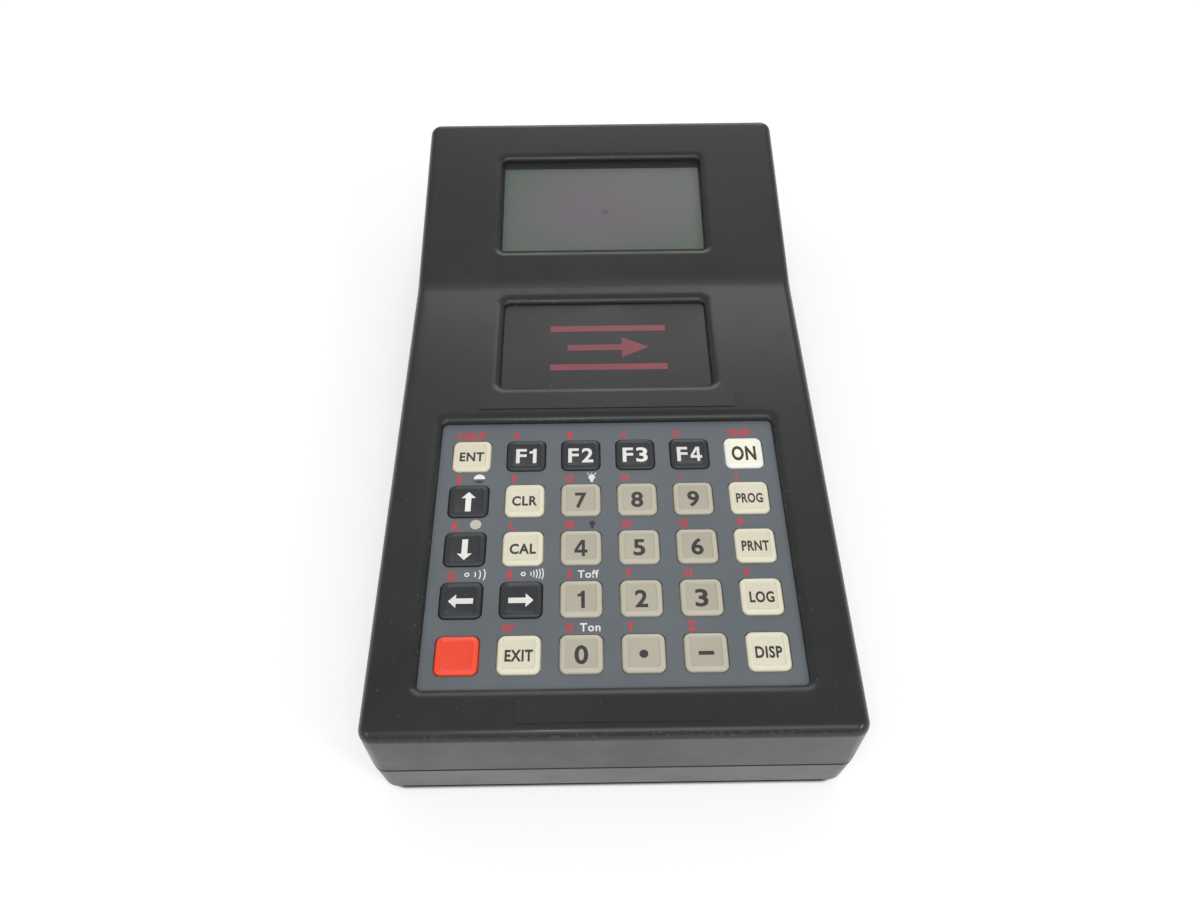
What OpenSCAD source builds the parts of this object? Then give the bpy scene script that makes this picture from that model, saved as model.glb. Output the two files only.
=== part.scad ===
// Portable ultrasonic flow meter: a hand-held case in two shells, with a sloped display, a pad of
// separate keys, a battery compartment underneath and a row of sockets in the far end wall.
// Millimetres. +Z is up, +Y points to the display end, X = 0 is the middle of the width.
// The origin is on the floor, under the middle of the case.

/* [Case] */
// Width of the case across its top
body_w = 130; // [128:1:146]
// Length of the case
body_l = 240; // [238:1:262]
// Height of the keypad section above the floor
low_h = 37.8; // [37.3:0.1:46]
// Length of the raised display section, measured flat
head_l = 77; // [76:1:88]
// Slope of the display section, in degrees
head_tilt = 9.5; // [8.5:0.5:12]
// Thickness of the case walls
wall_t = 2.5; // [2.3:0.1:2.8]
// Corner radius of the case in plan
corner_r = 4; // [3.8:0.2:6]
// Rounding of the top edges
edge_r = 3; // [2.9:0.1:3.8]
// Height of the parting line above the floor
part_z = 16; // [14.5:0.5:18]
// How far the upper walls lean in on their way down to the parting line
top_lean = 0.2; // [0.1:0.1:0.8]
// How far the lower walls lean in on their way down to the base
base_lean = 0.8; // [0.5:0.1:1.8]
// Bevel round the base
base_bevel = 0.6; // [0.4:0.1:1]
// Air between the base and the floor
foot_gap = 1.3; // [1.2:0.1:2]
// Thickness of the seal between the two shells
seal_t = 1; // [0.6:0.1:1.2]

/* [Display] */
// Distance from the crease to the middle of the display, along the slope
window_mid = 37; // [35:0.2:38]
// Width of the display recess at its floor
recess_w = 73.2; // [72:0.2:76]
// Length of the display recess at its floor
recess_l = 43.6; // [42:0.2:46]
// Depth of the window below the case surface
window_depth = 1.8; // [1.5:0.1:2]
// Thickness of the window
window_t = 1.2; // [1:0.1:1.5]
// Width of the part of the LCD that can be seen
view_w = 72.4; // [67:0.1:73]
// Length of the part of the LCD that can be seen
view_l = 39.2; // [36:0.1:42]
// Thickness of the LCD glass
glass_t = 2.2; // [1.8:0.1:2.6]
// Thickness of the backlight
light_t = 2.3; // [1.8:0.1:2.6]
// Thickness of the LCD board, the keypad board and the main board
board_t = 1.6; // [1.2:0.1:1.8]

/* [Badge and labels] */
// Distance from the crease to the badge plate
badge_gap = 7.9; // [7:0.1:9]
// Width of the badge plate
badge_w = 68; // [60:1:74]
// Length of the badge plate
badge_l = 38.5; // [36:0.5:39]
// Depth of the badge plate's face below the case surface
badge_depth = 2; // [1.6:0.1:2.2]
// Thickness of the badge plate and of the label strips
film_t = 0.2; // [0.15:0.05:0.3]
// Width of the upper label strip
upper_label_w = 80.5; // [70:0.5:90]
// Width of the lower label strip
lower_label_w = 50.6; // [44:0.2:60]
// Length of both label strips
label_l = 6.2; // [5.6:0.1:6.4]

/* [Keypad] */
// Distance from the near end of the case to the keypad panel
keypad_near = 13.7; // [13:0.1:15]
// Distance from each side of the case to the keypad panel
keypad_side = 13.9; // [13:0.1:16]
// Distance between the badge plate and the keypad panel
strip_gap = 14.2; // [13.6:0.1:16]
// Depth of the panel's face below the case surface
panel_depth = 2.2; // [1.9:0.1:2.2]
// Thickness of the panel
panel_t = 1; // [0.8:0.1:1.2]
// Margin of the panel beside the keys' places
key_side = 1.42; // [1:0.02:2.4]
// Margin of the panel beyond the first row of keys
key_far = 4.32; // [3.6:0.02:5]
// Margin of the panel before the last row of keys
key_near = 1.58; // [1:0.02:2.4]
// Space between neighbouring caps, across the case
key_space_w = 4.86; // [4.4:0.02:6]
// Space between neighbouring caps, along the case
key_space_l = 5.26; // [4.4:0.02:6]
// Height of a key's cap above the panel
cap_h = 0.9; // [0.8:0.1:1.6]
// Distance that a key moves when it is pressed
key_travel = 0.6; // [0.4:0.05:0.7]
// Height of a snap dome
dome_h = 0.45; // [0.35:0.05:0.6]

/* [Battery] */
// Number of cells in the pack
cells = 6; // [5:1:6]
// Diameter of a cell with its wrap
cell_d = 14.5; // [13.8:0.1:14.8]
// Length of a cell
cell_l = 50.5; // [48:0.5:52]
// Distance from the near end of the case to the battery cover
cover_near = 22; // [20:0.5:26]
// Thickness of the battery cover
cover_t = 2; // [1.8:0.1:2.4]

/* [Sockets] */
// Bore radius of a transducer socket
transducer_bore_r = 3; // [2.5:0.1:3.4]
// Depth of a transducer socket's bore
transducer_bore_l = 9; // [7:0.5:10]
// Distance between the two transducer sockets
transducer_pitch = 20; // [18:1:22]
// Place of the midpoint of the two transducer sockets, as a share of the case's width
transducer_share = -0.2154; // [-0.23:0.002:-0.2]
// Bore radius of the data socket
data_bore_r = 4.6; // [4:0.1:5]
// Depth of the data socket's bore
data_bore_l = 6; // [5:0.5:8]
// Place of the data socket, as a share of the case's width
data_share = 0.0462; // [0.03:0.002:0.06]
// Bore radius of the power jack
power_bore_r = 3.2; // [2.8:0.1:3.4]
// Depth of the power jack's bore
power_bore_l = 9.5; // [8:0.5:10]
// Place of the power jack, as a share of the case's width
power_share = 0.2462; // [0.23:0.002:0.26]

/* [Hidden] */
$fn = 48;
// Overrun of every cut past the face that it opens
over = 1;
// Thickness of the thin plates that the rounded forms are stretched between
skin = 0.02;
// Overlap of the two halves of the upper form at the crease
crease_lap = 0.5;
// Facets of a corner in plan, and of the rounding above it
cap_fn = 32;
arc_steps = 8;
// Clearance round what is dropped into a seat, and round a screw in its hole
seat_gap = 0.2;
screw_gap = 0.05;
// Gap between neighbours that are held elsewhere
slip_gap = 0.1;
// Width and depth of the flared mouth of a recess
flare_w = 2.8;
flare_d = 1.5;
recess_r = 1.6;
// Least rounding of the room inside the case, as a share of the corner radius
inner_edge_share = 0.05;

// Places of the main features, and the panel that fills what the case leaves it
crease_y = body_l / 2 - head_l;
badge_y = crease_y - badge_gap - badge_l / 2;
panel_w = body_w - 2 * keypad_side;
panel_l = body_l - head_l - badge_gap - badge_l - strip_gap - keypad_near;
panel_y = -body_l / 2 + keypad_near + panel_l / 2;

// Keys share the panel between them
key_columns = 6;
key_rows = 5;
key_step_w = (panel_w - 2 * key_side) / key_columns;
key_step_l = (panel_l - key_far - key_near) / key_rows;
row_y = panel_y + panel_l / 2 - key_far - key_step_l / 2;
cap_w = key_step_w - key_space_w;
cap_l = key_step_l - key_space_l;

// Window and LCD module, on the slope
window_lip = 2.7;
window_w = recess_w + 2 * window_lip;
window_l = recess_l + 2 * window_lip;
window_rim = 2.5;
lcd_frame_top = -window_depth - window_t - slip_gap;
lcd_sheet_t = 0.5;
lcd_skirt = 2;
glass_side = 3.8;
glass_end = 5.4;
glass_w = view_w + 2 * glass_side;
glass_l = view_l + 2 * glass_end;
lcd_frame_w = glass_w + 2 * lcd_skirt + 2 * seat_gap;
lcd_frame_l = glass_l + 2 * lcd_skirt + 2 * seat_gap;
lcd_board_top = lcd_frame_top - lcd_sheet_t - glass_t - light_t;
lcd_boss_out = 3.4;
lcd_boss_x = lcd_frame_w / 2 + lcd_boss_out;
lcd_boss_v = 24;
lcd_board_side = 3.5;
lcd_board_end = 2.5;
lcd_board_w = 2 * lcd_boss_x + 2 * lcd_board_side;
lcd_board_l = lcd_frame_l + 2 * lcd_board_end;

// Label strips on the deck: corner radius, and how far each lies from the middle or the edge of its space
label_r = 0.4;
upper_label_shift = 0.4;
lower_label_gap = 1;

// Seal: how far it lies back from the case's outline, and its width, as shares of the wall
seal_inset_share = 0.125;
seal_share = 0.6;

// Keypad layers, below the deck
overlay_lip = 2.4;
overlay_w = panel_w + 2 * overlay_lip;
overlay_l = panel_l + 2 * overlay_lip;
key_gap = 0.2;
key_lip = 0.9;
key_flange_t = 0.8;
key_stub_r = 2;
key_stub_h = 0.35;
key_corner_r = 1.9;
key_corner_share = 0.45;
cap_r = min(key_corner_r, key_corner_share * min(cap_w, cap_l));
cap_bevel = 0.5;
dome_clear = 0.1;
spacer_t = slip_gap + key_flange_t + key_stub_h + key_travel + dome_clear + dome_h;
spacer_in = 0.5;
spacer_w = overlay_w - 2 * spacer_in;
spacer_l = overlay_l - 2 * spacer_in;
dome_size_share = 0.354;
dome_r = dome_size_share * min(cap_w, cap_l);
dome_t = 0.15;
dome_steps = 4;
panel_top = -panel_depth;
spacer_top = panel_top - panel_t;
key_board_top = spacer_top - spacer_t;
key_boss_out = 3.5;
key_boss_x = overlay_w / 2 + key_boss_out;
key_boss_end = 8.35;
key_boss_y = panel_l / 2 - key_boss_end;
key_board_side = 3;
key_board_end = 1.5;
key_board_w = 2 * key_boss_x + 2 * key_board_side;
key_board_l = spacer_l - 2 * key_board_end;

// Small screws that hold the boards and the battery cover
small_screw_r = 1.2;
small_screw_l = 4.8;
small_head_r = 2.2;
small_head_h = 1.2;
small_hole_gap = 0.2;
small_boss_r = 3;

// Case screws and their bosses
case_screw_r = 1.7;
case_head_r = 2.8;
case_head_h = 2.2;
case_head_seat = 4.5;
case_grip = 11;
case_boss_r = 3.5;
case_sink_wall = 1;
case_boss_in = 9.5;
case_boss_near = 8.4;
case_boss_far = 8.4;
case_boss_mid = 8.3;
case_boss_share = 0.6;

// Battery compartment
cell_gap = 0.6;
contact_room = 2.4;
cell_rise = 0.3;
ledge_w = 6;
ledge_t = 2.5;
box_wall = 2.5;
roof_t = 1.6;
wrap_share = 0.6;
bay_w = cells * cell_d + 2 * cell_gap;
bay_l = cell_l + 2 * cell_gap + contact_room;
cover_w = bay_w + 2 * ledge_w;
cover_l = bay_l + 2 * ledge_w;
cover_r = 3;
cover_y = -body_l / 2 + cover_near + cover_l / 2;
cell_z = foot_gap + cover_t + cell_rise + cell_d / 2;
roof_z = cell_z + cell_d / 2 + cell_rise;
contact_w = 8;
contact_h = 9;
contact_t = 0.6;
contact_x = 20;
contact_pin_r = 0.5;

// Main board
board_post_h = 2.5;
board_z = roof_z + roof_t + board_post_h;
board_top = board_z + board_t;
board_side = 16;
board_w = body_w - 2 * board_side;
board_near = 26;
board_far = 14;
board_l = body_l - board_near - board_far;
board_y = (board_near - board_far) / 2;
board_screw_in = 4;
board_screw_far = 22;
tall_part = 4;
header_w = 24;
header_l = 5;
header_h = 2.5;
ribbon_w = 20;
ribbon_t = 0.3;
ribbon_bow = 1.6;
ribbon_steps = 10;
ribbon_v = 48;
tail_x = -22;
tail_in = 7;
// Parts on the main board: place and size as shares of the board, height as a share of the tallest
PART_SHARES = [
    [0.18, -0.30, 0.30, 0.13, 1.0], [-0.24, -0.34, 0.22, 0.10, 0.55], [-0.26, -0.20, 0.16, 0.07, 0.5],
    [0.26, -0.16, 0.20, 0.06, 0.6], [0.04, -0.16, 0.14, 0.06, 0.5], [-0.30, 0.06, 0.18, 0.09, 0.5],
    [-0.04, 0.05, 0.22, 0.11, 0.6], [0.28, 0.04, 0.20, 0.09, 0.8], [-0.28, 0.19, 0.24, 0.08, 0.9],
    [0.02, 0.19, 0.12, 0.05, 0.5], [0.28, 0.18, 0.16, 0.07, 0.7], [0.30, 0.30, 0.12, 0.05, 0.6]
];
// Round parts on the main board: place as a share of the board, radius as a share of the tallest part
CAN_SHARES = [
    [-0.40, -0.12, 0.8], [-0.40, -0.04, 0.8], [0.40, -0.40, 0.9], [0.10, 0.31, 0.8], [-0.08, 0.31, 0.8],
    [0.42, 0.10, 0.7]
];

// Sockets in the far end wall
transducer_x = transducer_share * body_w;
data_x = data_share * body_w;
power_x = power_share * body_w;
socket_rise = 6;
socket_z = board_top + socket_rise;
socket_bay_w = 100;
socket_bay_h = 20;
socket_bay_r = 3;
socket_bay_depth = 1.6;
socket_pad_rim = 3;
socket_face_y = body_l / 2 - top_lean - socket_bay_depth;
flange_t = 1.4;
flange_rim = 2;
barrel_wall = 1.5;
barrel_l = 14;
nut_t = 2.4;
nut_rim = 2.2;
contact_hole_r = 0.6;
contact_hole_l = 3;
leg_w = 1;
power_pin_r = 1.05;
data_contacts = 5;
data_ring_share = 0.55;

// Feet
foot_r = 5;
foot_sink = 0.6;
foot_near = 11.5;
foot_far = 16;
foot_in_near = 27;
foot_in_far = 21;

// Keys: node name, column, row and colour
cream = "#e6e2d0";
beige = "#b5ae9b";
dark = "#303236";
red = "#e8482f";
KEYS = [
    ["key_enter", 0, 0, cream], ["key_f1", 1, 0, dark], ["key_f2", 2, 0, dark],
    ["key_f3", 3, 0, dark], ["key_f4", 4, 0, dark], ["key_on", 5, 0, cream],
    ["key_up", 0, 1, dark], ["key_clear", 1, 1, cream], ["key_7", 2, 1, beige],
    ["key_8", 3, 1, beige], ["key_9", 4, 1, beige], ["key_program", 5, 1, cream],
    ["key_down", 0, 2, dark], ["key_calibrate", 1, 2, cream], ["key_4", 2, 2, beige],
    ["key_5", 3, 2, beige], ["key_6", 4, 2, beige], ["key_print", 5, 2, cream],
    ["key_left", 0, 3, dark], ["key_right", 1, 3, dark], ["key_1", 2, 3, beige],
    ["key_2", 3, 3, beige], ["key_3", 4, 3, beige], ["key_log", 5, 3, cream],
    ["key_red", 0, 4, red], ["key_exit", 1, 4, cream], ["key_0", 2, 4, beige],
    ["key_point", 3, 4, beige], ["key_minus", 4, 4, beige], ["key_display", 5, 4, cream]
];

// The crease line of a form inset by d, and the height of its sloped top at y
function crease_at(d) = crease_y + d * tan(head_tilt / 2);
function slope_z(y, d) = low_h - d + (y - crease_at(d)) * tan(head_tilt);
function key_x(column) = (column - (key_columns - 1) / 2) * key_step_w;
function key_y(row) = row_y - row * key_step_l;
// Places of the case screws, then of the small screws of each board
function case_spots() = [
    for (sx = [-1, 1], y = [-body_l / 2 + case_boss_near, panel_y + panel_l / 2 + flare_w + case_boss_mid,
                            body_l / 2 - case_boss_far])
        [sx * (body_w / 2 - case_boss_in), y]
];
function board_spots() = [
    for (sx = [-1, 1], y = [board_y - board_l / 2 + board_screw_in, crease_y - head_l / 2,
                            board_y + board_l / 2 - board_screw_far])
        [sx * (board_w / 2 - board_screw_in), y]
];
function lcd_spots() = [for (sx = [-1, 1], sv = [-1, 1]) [sx * lcd_boss_x, window_mid + sv * lcd_boss_v]];
function key_spots() = [for (sx = [-1, 1], sy = [-1, 1]) [sx * key_boss_x, panel_y + sy * key_boss_y]];
function cover_spots() = [
    for (sx = [-1, 1], sy = [-1, 1])
        [sx * (cover_w - ledge_w) / 2, cover_y + sy * (cover_l - ledge_w) / 2]
];

// Frames of the level deck, the sloped head and the sockets' wall, each with its face at zero
module on_deck() {
    translate([0, 0, low_h]) children();
}

module on_head() {
    translate([0, crease_y, low_h]) rotate([head_tilt, 0, 0]) children();
}

module on_far_wall(x) {
    translate([x, socket_face_y, socket_z]) rotate([-90, 0, 0]) children();
}

module plate_2d(w, l, r) {
    square([w - 2 * r, l], center = true);
    square([w, l - 2 * r], center = true);
    for (sx = [-1, 1], sy = [-1, 1])
        translate([sx * (w / 2 - r), sy * (l / 2 - r)]) circle(r = r);
}

module plate(w, l, r, t) {
    linear_extrude(height = t) plate_2d(w, l, r);
}

// A plate between two heights
module layer(w, l, r, low, high) {
    translate([0, 0, low]) plate(w, l, r, high - low);
}

// Disc of radius r with its top edge rounded by e, its top at zero
module corner_cap(r, e) {
    rotate_extrude($fn = cap_fn) polygon(concat(
        [[0, -e], [0, 0]],
        [for (i = [0 : arc_steps]) [r - e + e * sin(90 * i / arc_steps), e * cos(90 * i / arc_steps) - e]]
    ));
}

// Long edges of the upper form at the crease, from the rounding down to height z0
module crease_slice(d, e, y, z0) {
    for (sx = [-1, 1]) {
        translate([sx * (body_w / 2 - d - e), y, low_h - d - e])
            rotate([90, 0, 0]) cylinder(r = e, h = skin, $fn = cap_fn);
        translate([sx * (body_w / 2 - d - top_lean) - skin / 2, y - skin, z0]) cube(skin);
    }
}

// Upper form inset by d, from height z0 up: a level half and a sloped half
module upper_form(d, z0) {
    r = corner_r - d;
    e = max(edge_r - d, corner_r * inner_edge_share);
    cx = body_w / 2 - corner_r;
    cy = body_l / 2 - corner_r;
    far_y = body_l / 2 - d - r * cos(head_tilt) - e * sin(head_tilt);
    hull() {
        for (sx = [-1, 1]) {
            translate([sx * cx, -cy, low_h - d]) corner_cap(r, e);
            translate([sx * (cx - top_lean), -cy + top_lean, z0]) cylinder(r = r, h = skin, $fn = cap_fn);
        }
        crease_slice(d, e, crease_at(d), z0);
    }
    hull() {
        for (sx = [-1, 1]) {
            translate([sx * cx, far_y, slope_z(far_y, d)]) rotate([head_tilt, 0, 0]) corner_cap(r, e);
            translate([sx * (cx - top_lean), cy - top_lean, z0]) cylinder(r = r, h = skin, $fn = cap_fn);
        }
        crease_slice(d, e, crease_at(d) - crease_lap, z0);
    }
}

// Lower form: the seal's face at the top, the lean, and the bevel round the base
module lower_form() {
    r = corner_r - base_bevel;
    hull() {
        translate([0, 0, part_z - seal_t - skin])
            plate(body_w - 2 * top_lean, body_l - 2 * top_lean, corner_r, skin, $fn = cap_fn);
        translate([0, 0, foot_gap + base_bevel])
            plate(body_w - 2 * top_lean - 2 * base_lean, body_l - 2 * top_lean - 2 * base_lean, corner_r, skin,
                  $fn = cap_fn);
        translate([0, 0, foot_gap])
            plate(body_w - 2 * top_lean - 2 * base_lean - 2 * base_bevel,
                  body_l - 2 * top_lean - 2 * base_lean - 2 * base_bevel, r, skin, $fn = cap_fn);
    }
}

// Room inside the lower form
module lower_room() {
    r = corner_r - wall_t;
    hull() {
        translate([0, 0, part_z])
            plate(body_w - 2 * top_lean - 2 * wall_t, body_l - 2 * top_lean - 2 * wall_t, r, skin, $fn = cap_fn);
        translate([0, 0, foot_gap + wall_t])
            plate(body_w - 2 * top_lean - 2 * base_lean - 2 * wall_t,
                  body_l - 2 * top_lean - 2 * base_lean - 2 * wall_t, r, skin, $fn = cap_fn);
    }
}

// Recess with a straight wall down to depth and a flared mouth at the case surface
module recess_cut(w, l, depth) {
    layer(w, l, recess_r, -depth, over);
    hull() {
        translate([0, 0, -flare_d]) plate(w, l, recess_r, skin, $fn = cap_fn);
        translate([0, 0, over])
            plate(w + 2 * flare_w * (1 + over / flare_d), l + 2 * flare_w * (1 + over / flare_d),
                  recess_r + flare_w * (1 + over / flare_d), skin, $fn = cap_fn);
    }
}

// Boss along Z between two heights
module boss(spot, r, low, high) {
    translate([spot[0], spot[1], low]) cylinder(r = r, h = high - low);
}

module top_case() {
    pad_d = window_depth + window_t;
    badge_floor = badge_depth + film_t;
    color("#2b2c2e") difference() {
        union() {
            difference() {
                upper_form(0, part_z);
                upper_form(wall_t, part_z - over);
            }
            on_head() {
                translate([0, window_mid, 0])
                    layer(window_w + 2 * window_rim, window_l + 2 * window_rim, recess_r, -pad_d, -wall_t / 2);
                for (p = lcd_spots()) boss(p, small_boss_r, lcd_board_top, -wall_t / 2);
            }
            on_deck() {
                translate([0, badge_y, 0])
                    layer(badge_w + 2 * wall_t, badge_l + 2 * wall_t, recess_r, -badge_floor - roof_t, -wall_t / 2);
                for (p = key_spots()) boss(p, small_boss_r, key_board_top, -wall_t / 2);
            }
            for (p = case_spots())
                boss(p, case_boss_r, part_z - seal_t,
                     (p[1] > crease_y ? slope_z(p[1], 0) : low_h) - wall_t * case_boss_share);
            translate([0, socket_face_y - wall_t, socket_z]) rotate([-90, 0, 0])
                plate(socket_bay_w + 2 * socket_pad_rim, socket_bay_h + 2 * socket_pad_rim, socket_bay_r,
                      wall_t + socket_bay_depth / 2);
        }
        on_head() translate([0, window_mid, 0]) {
            recess_cut(recess_w, recess_l, pad_d + over);
            layer(window_w + 2 * seat_gap, window_l + 2 * seat_gap, recess_r, -pad_d - over, -window_depth);
        }
        on_head() for (p = lcd_spots())
            boss(p, small_screw_r + screw_gap, lcd_board_top - over,
                 lcd_board_top - board_t + small_screw_l + seat_gap);
        on_deck() {
            translate([0, badge_y, 0]) recess_cut(badge_w, badge_l, badge_floor);
            translate([0, panel_y, 0]) {
                recess_cut(panel_w, panel_l, panel_depth + over);
                layer(overlay_w + 2 * seat_gap, overlay_l + 2 * seat_gap, recess_r, -wall_t - over, panel_top);
            }
            for (p = key_spots())
                boss(p, small_screw_r + screw_gap, key_board_top - over,
                     key_board_top - board_t + small_screw_l + seat_gap);
        }
        for (p = case_spots())
            boss(p, case_screw_r + screw_gap, part_z - seal_t - over, part_z + case_grip + seat_gap);
        translate([0, socket_face_y, socket_z]) rotate([-90, 0, 0])
            plate(socket_bay_w, socket_bay_h, socket_bay_r, socket_bay_depth + top_lean + over);
        for (x = [transducer_x - transducer_pitch / 2, transducer_x + transducer_pitch / 2])
            wall_hole(x, transducer_bore_r);
        wall_hole(data_x, data_bore_r);
        wall_hole(power_x, power_bore_r);
    }
}

// Hole in the far wall for a socket's barrel
module wall_hole(x, bore_r) {
    on_far_wall(x) translate([0, 0, -wall_t - over])
        cylinder(r = bore_r + barrel_wall + seat_gap, h = wall_t + 2 * over);
}

module bottom_case() {
    color("#313234") difference() {
        union() {
            difference() {
                lower_form();
                lower_room();
            }
            translate([0, cover_y, 0]) {
                layer(cover_w + 2 * box_wall, cover_l + 2 * box_wall, cover_r, foot_gap + over,
                      foot_gap + cover_t + ledge_t);
                layer(bay_w + 2 * box_wall, bay_l + 2 * box_wall, cover_r, foot_gap + over, roof_z + roof_t);
            }
            for (p = cover_spots())
                boss(p, small_boss_r, foot_gap + over, foot_gap + small_head_h + small_screw_l + roof_t);
            for (p = case_spots())
                boss(p, case_head_r + seat_gap + case_sink_wall, foot_gap + over, part_z - seal_t);
            for (p = board_spots()) boss(p, small_boss_r, foot_gap + over, board_z);
        }
        translate([0, cover_y, 0]) {
            layer(cover_w + 2 * seat_gap, cover_l + 2 * seat_gap, cover_r, foot_gap - over, foot_gap + cover_t);
            layer(bay_w, bay_l, recess_r, foot_gap, roof_z);
        }
        for (p = cover_spots())
            boss(p, small_screw_r + screw_gap, foot_gap, foot_gap + small_head_h + small_screw_l + seat_gap);
        for (p = case_spots()) {
            boss(p, case_head_r + seat_gap, foot_gap - over, foot_gap + case_head_seat);
            boss(p, case_screw_r + screw_gap, foot_gap, part_z);
        }
        for (p = board_spots())
            boss(p, small_screw_r + screw_gap, board_top - small_screw_l - seat_gap, board_z + over);
        for (p = foot_spots()) boss(p, foot_r + seat_gap, foot_gap - over, foot_gap + foot_sink);
        for (sx = [-1, 1])
            boss([sx * contact_x, contact_y()], contact_pin_r + seat_gap, roof_z - over, roof_z + roof_t + over);
    }
}

function foot_spots() = [
    for (sx = [-1, 1]) each [
        [sx * (body_w / 2 - foot_in_near), -body_l / 2 + foot_near],
        [sx * (body_w / 2 - foot_in_far), body_l / 2 - foot_far]
    ]
];
function contact_y() = cover_y + bay_l / 2 - contact_t / 2 - contact_pin_r;

module case_seal() {
    lip = wall_t * seal_inset_share;
    rim_w = body_w - 2 * top_lean - 2 * lip;
    rim_l = body_l - 2 * top_lean - 2 * lip;
    ring_w = wall_t * seal_share;
    color("#141416") translate([0, 0, part_z - seal_t]) linear_extrude(height = seal_t) difference() {
        plate_2d(rim_w, rim_l, corner_r - lip);
        plate_2d(rim_w - 2 * ring_w, rim_l - 2 * ring_w, corner_r - lip - ring_w);
    }
}

module display_window() {
    color("#8c928c") on_head() translate([0, window_mid, 0])
        layer(window_w, window_l, recess_r, -window_depth - window_t, -window_depth);
}

module lcd_frame() {
    color("#3a3b3d") on_head() translate([0, window_mid, 0]) difference() {
        layer(lcd_frame_w, lcd_frame_l, recess_r, lcd_board_top, lcd_frame_top);
        layer(lcd_frame_w - 2 * lcd_skirt, lcd_frame_l - 2 * lcd_skirt, seat_gap, lcd_board_top - over,
              lcd_frame_top - lcd_sheet_t);
        layer(view_w, view_l, seat_gap, lcd_board_top - over, lcd_frame_top + over);
    }
}

module lcd_glass() {
    color("#6f746f") on_head() translate([0, window_mid, 0])
        layer(glass_w, glass_l, seat_gap, lcd_frame_top - lcd_sheet_t - glass_t, lcd_frame_top - lcd_sheet_t);
}

module lcd_backlight() {
    color("#dfe6dc") on_head() translate([0, window_mid, 0])
        layer(glass_w, glass_l, seat_gap, lcd_board_top, lcd_board_top + light_t);
}

module lcd_board() {
    color("#1f5a3a") on_head() {
        difference() {
            translate([0, window_mid, 0])
                layer(lcd_board_w, lcd_board_l, recess_r, lcd_board_top - board_t, lcd_board_top);
            for (p = lcd_spots())
                boss(p, small_screw_r + small_hole_gap, lcd_board_top - board_t - over, lcd_board_top + over);
        }
        translate([-header_w / 2, ribbon_v - header_l / 2, lcd_board_top - board_t - header_h])
            cube([header_w, header_l, header_h]);
    }
}

module badge_plate() {
    color("#35373a") on_deck() translate([0, badge_y, 0])
        layer(badge_w - 2 * seat_gap, badge_l - 2 * seat_gap, recess_r, -badge_depth - film_t, -badge_depth);
}

// A film strip on the deck, its middle at y
module label_strip(w, y) {
    color("#26272a") on_deck() translate([0, y, 0]) layer(w, label_l, label_r, 0, film_t);
}

module upper_label() {
    label_strip(upper_label_w, (panel_y + panel_l / 2 + badge_y - badge_l / 2) / 2 + upper_label_shift);
}

module lower_label() {
    label_strip(lower_label_w, panel_y - panel_l / 2 - flare_w - lower_label_gap - label_l / 2);
}

// All the keys' places
module at_keys() {
    for (k = KEYS) translate([key_x(k[1]), key_y(k[2]), 0]) children();
}

module keypad_overlay() {
    color("#6b7078") on_deck() difference() {
        translate([0, panel_y, 0]) layer(overlay_w, overlay_l, recess_r, spacer_top, panel_top);
        at_keys()
            layer(cap_w + 2 * key_gap, cap_l + 2 * key_gap, cap_r + key_gap, spacer_top - over, panel_top + over);
    }
}

module keypad_spacer() {
    color("#b9bbb8") on_deck() difference() {
        translate([0, panel_y, 0]) layer(spacer_w, spacer_l, recess_r, key_board_top, spacer_top);
        at_keys()
            translate([0, 0, key_board_top - over])
                linear_extrude(height = spacer_t + 2 * over)
                    square([cap_w + 2 * key_lip + 2 * key_gap, cap_l + 2 * key_lip + 2 * key_gap], center = true);
    }
}

// Height share of a dome at a share of its radius
function dome_share(u) = 1 - u * u;

module snap_domes() {
    inner_r = dome_r - 2 * dome_t;
    color("#c9c9c4") on_deck() at_keys() translate([0, 0, key_board_top]) rotate_extrude() polygon(concat(
        [for (i = [0 : dome_steps]) [dome_r * i / dome_steps, dome_h * dome_share(i / dome_steps)]],
        [for (i = [dome_steps : -1 : 0])
            [inner_r * i / dome_steps, (dome_h - dome_t) * dome_share(i / dome_steps)]]
    ));
}

module keypad_board() {
    color("#24573d") on_deck() difference() {
        translate([0, panel_y, 0])
            layer(key_board_w, key_board_l, recess_r, key_board_top - board_t, key_board_top);
        for (p = key_spots())
            boss(p, small_screw_r + small_hole_gap, key_board_top - board_t - over, key_board_top + over);
    }
}

// One key: cap, flange under the panel, and the stub that meets the dome
module key(column, row) {
    flange_top = spacer_top - slip_gap;
    on_deck() translate([key_x(column), key_y(row), 0]) {
        hull() {
            translate([0, 0, flange_top - skin]) plate(cap_w, cap_l, cap_r, skin, $fn = cap_fn);
            translate([0, 0, panel_top + cap_h - cap_bevel]) plate(cap_w, cap_l, cap_r, skin, $fn = cap_fn);
            translate([0, 0, panel_top + cap_h - skin])
                plate(cap_w - 2 * cap_bevel, cap_l - 2 * cap_bevel, cap_r - cap_bevel, skin, $fn = cap_fn);
        }
        translate([0, 0, flange_top - key_flange_t]) linear_extrude(height = key_flange_t)
            square([cap_w + 2 * key_lip, cap_l + 2 * key_lip], center = true);
        translate([0, 0, flange_top - key_flange_t - key_stub_h]) cylinder(r = key_stub_r, h = key_stub_h + skin);
    }
}

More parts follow.
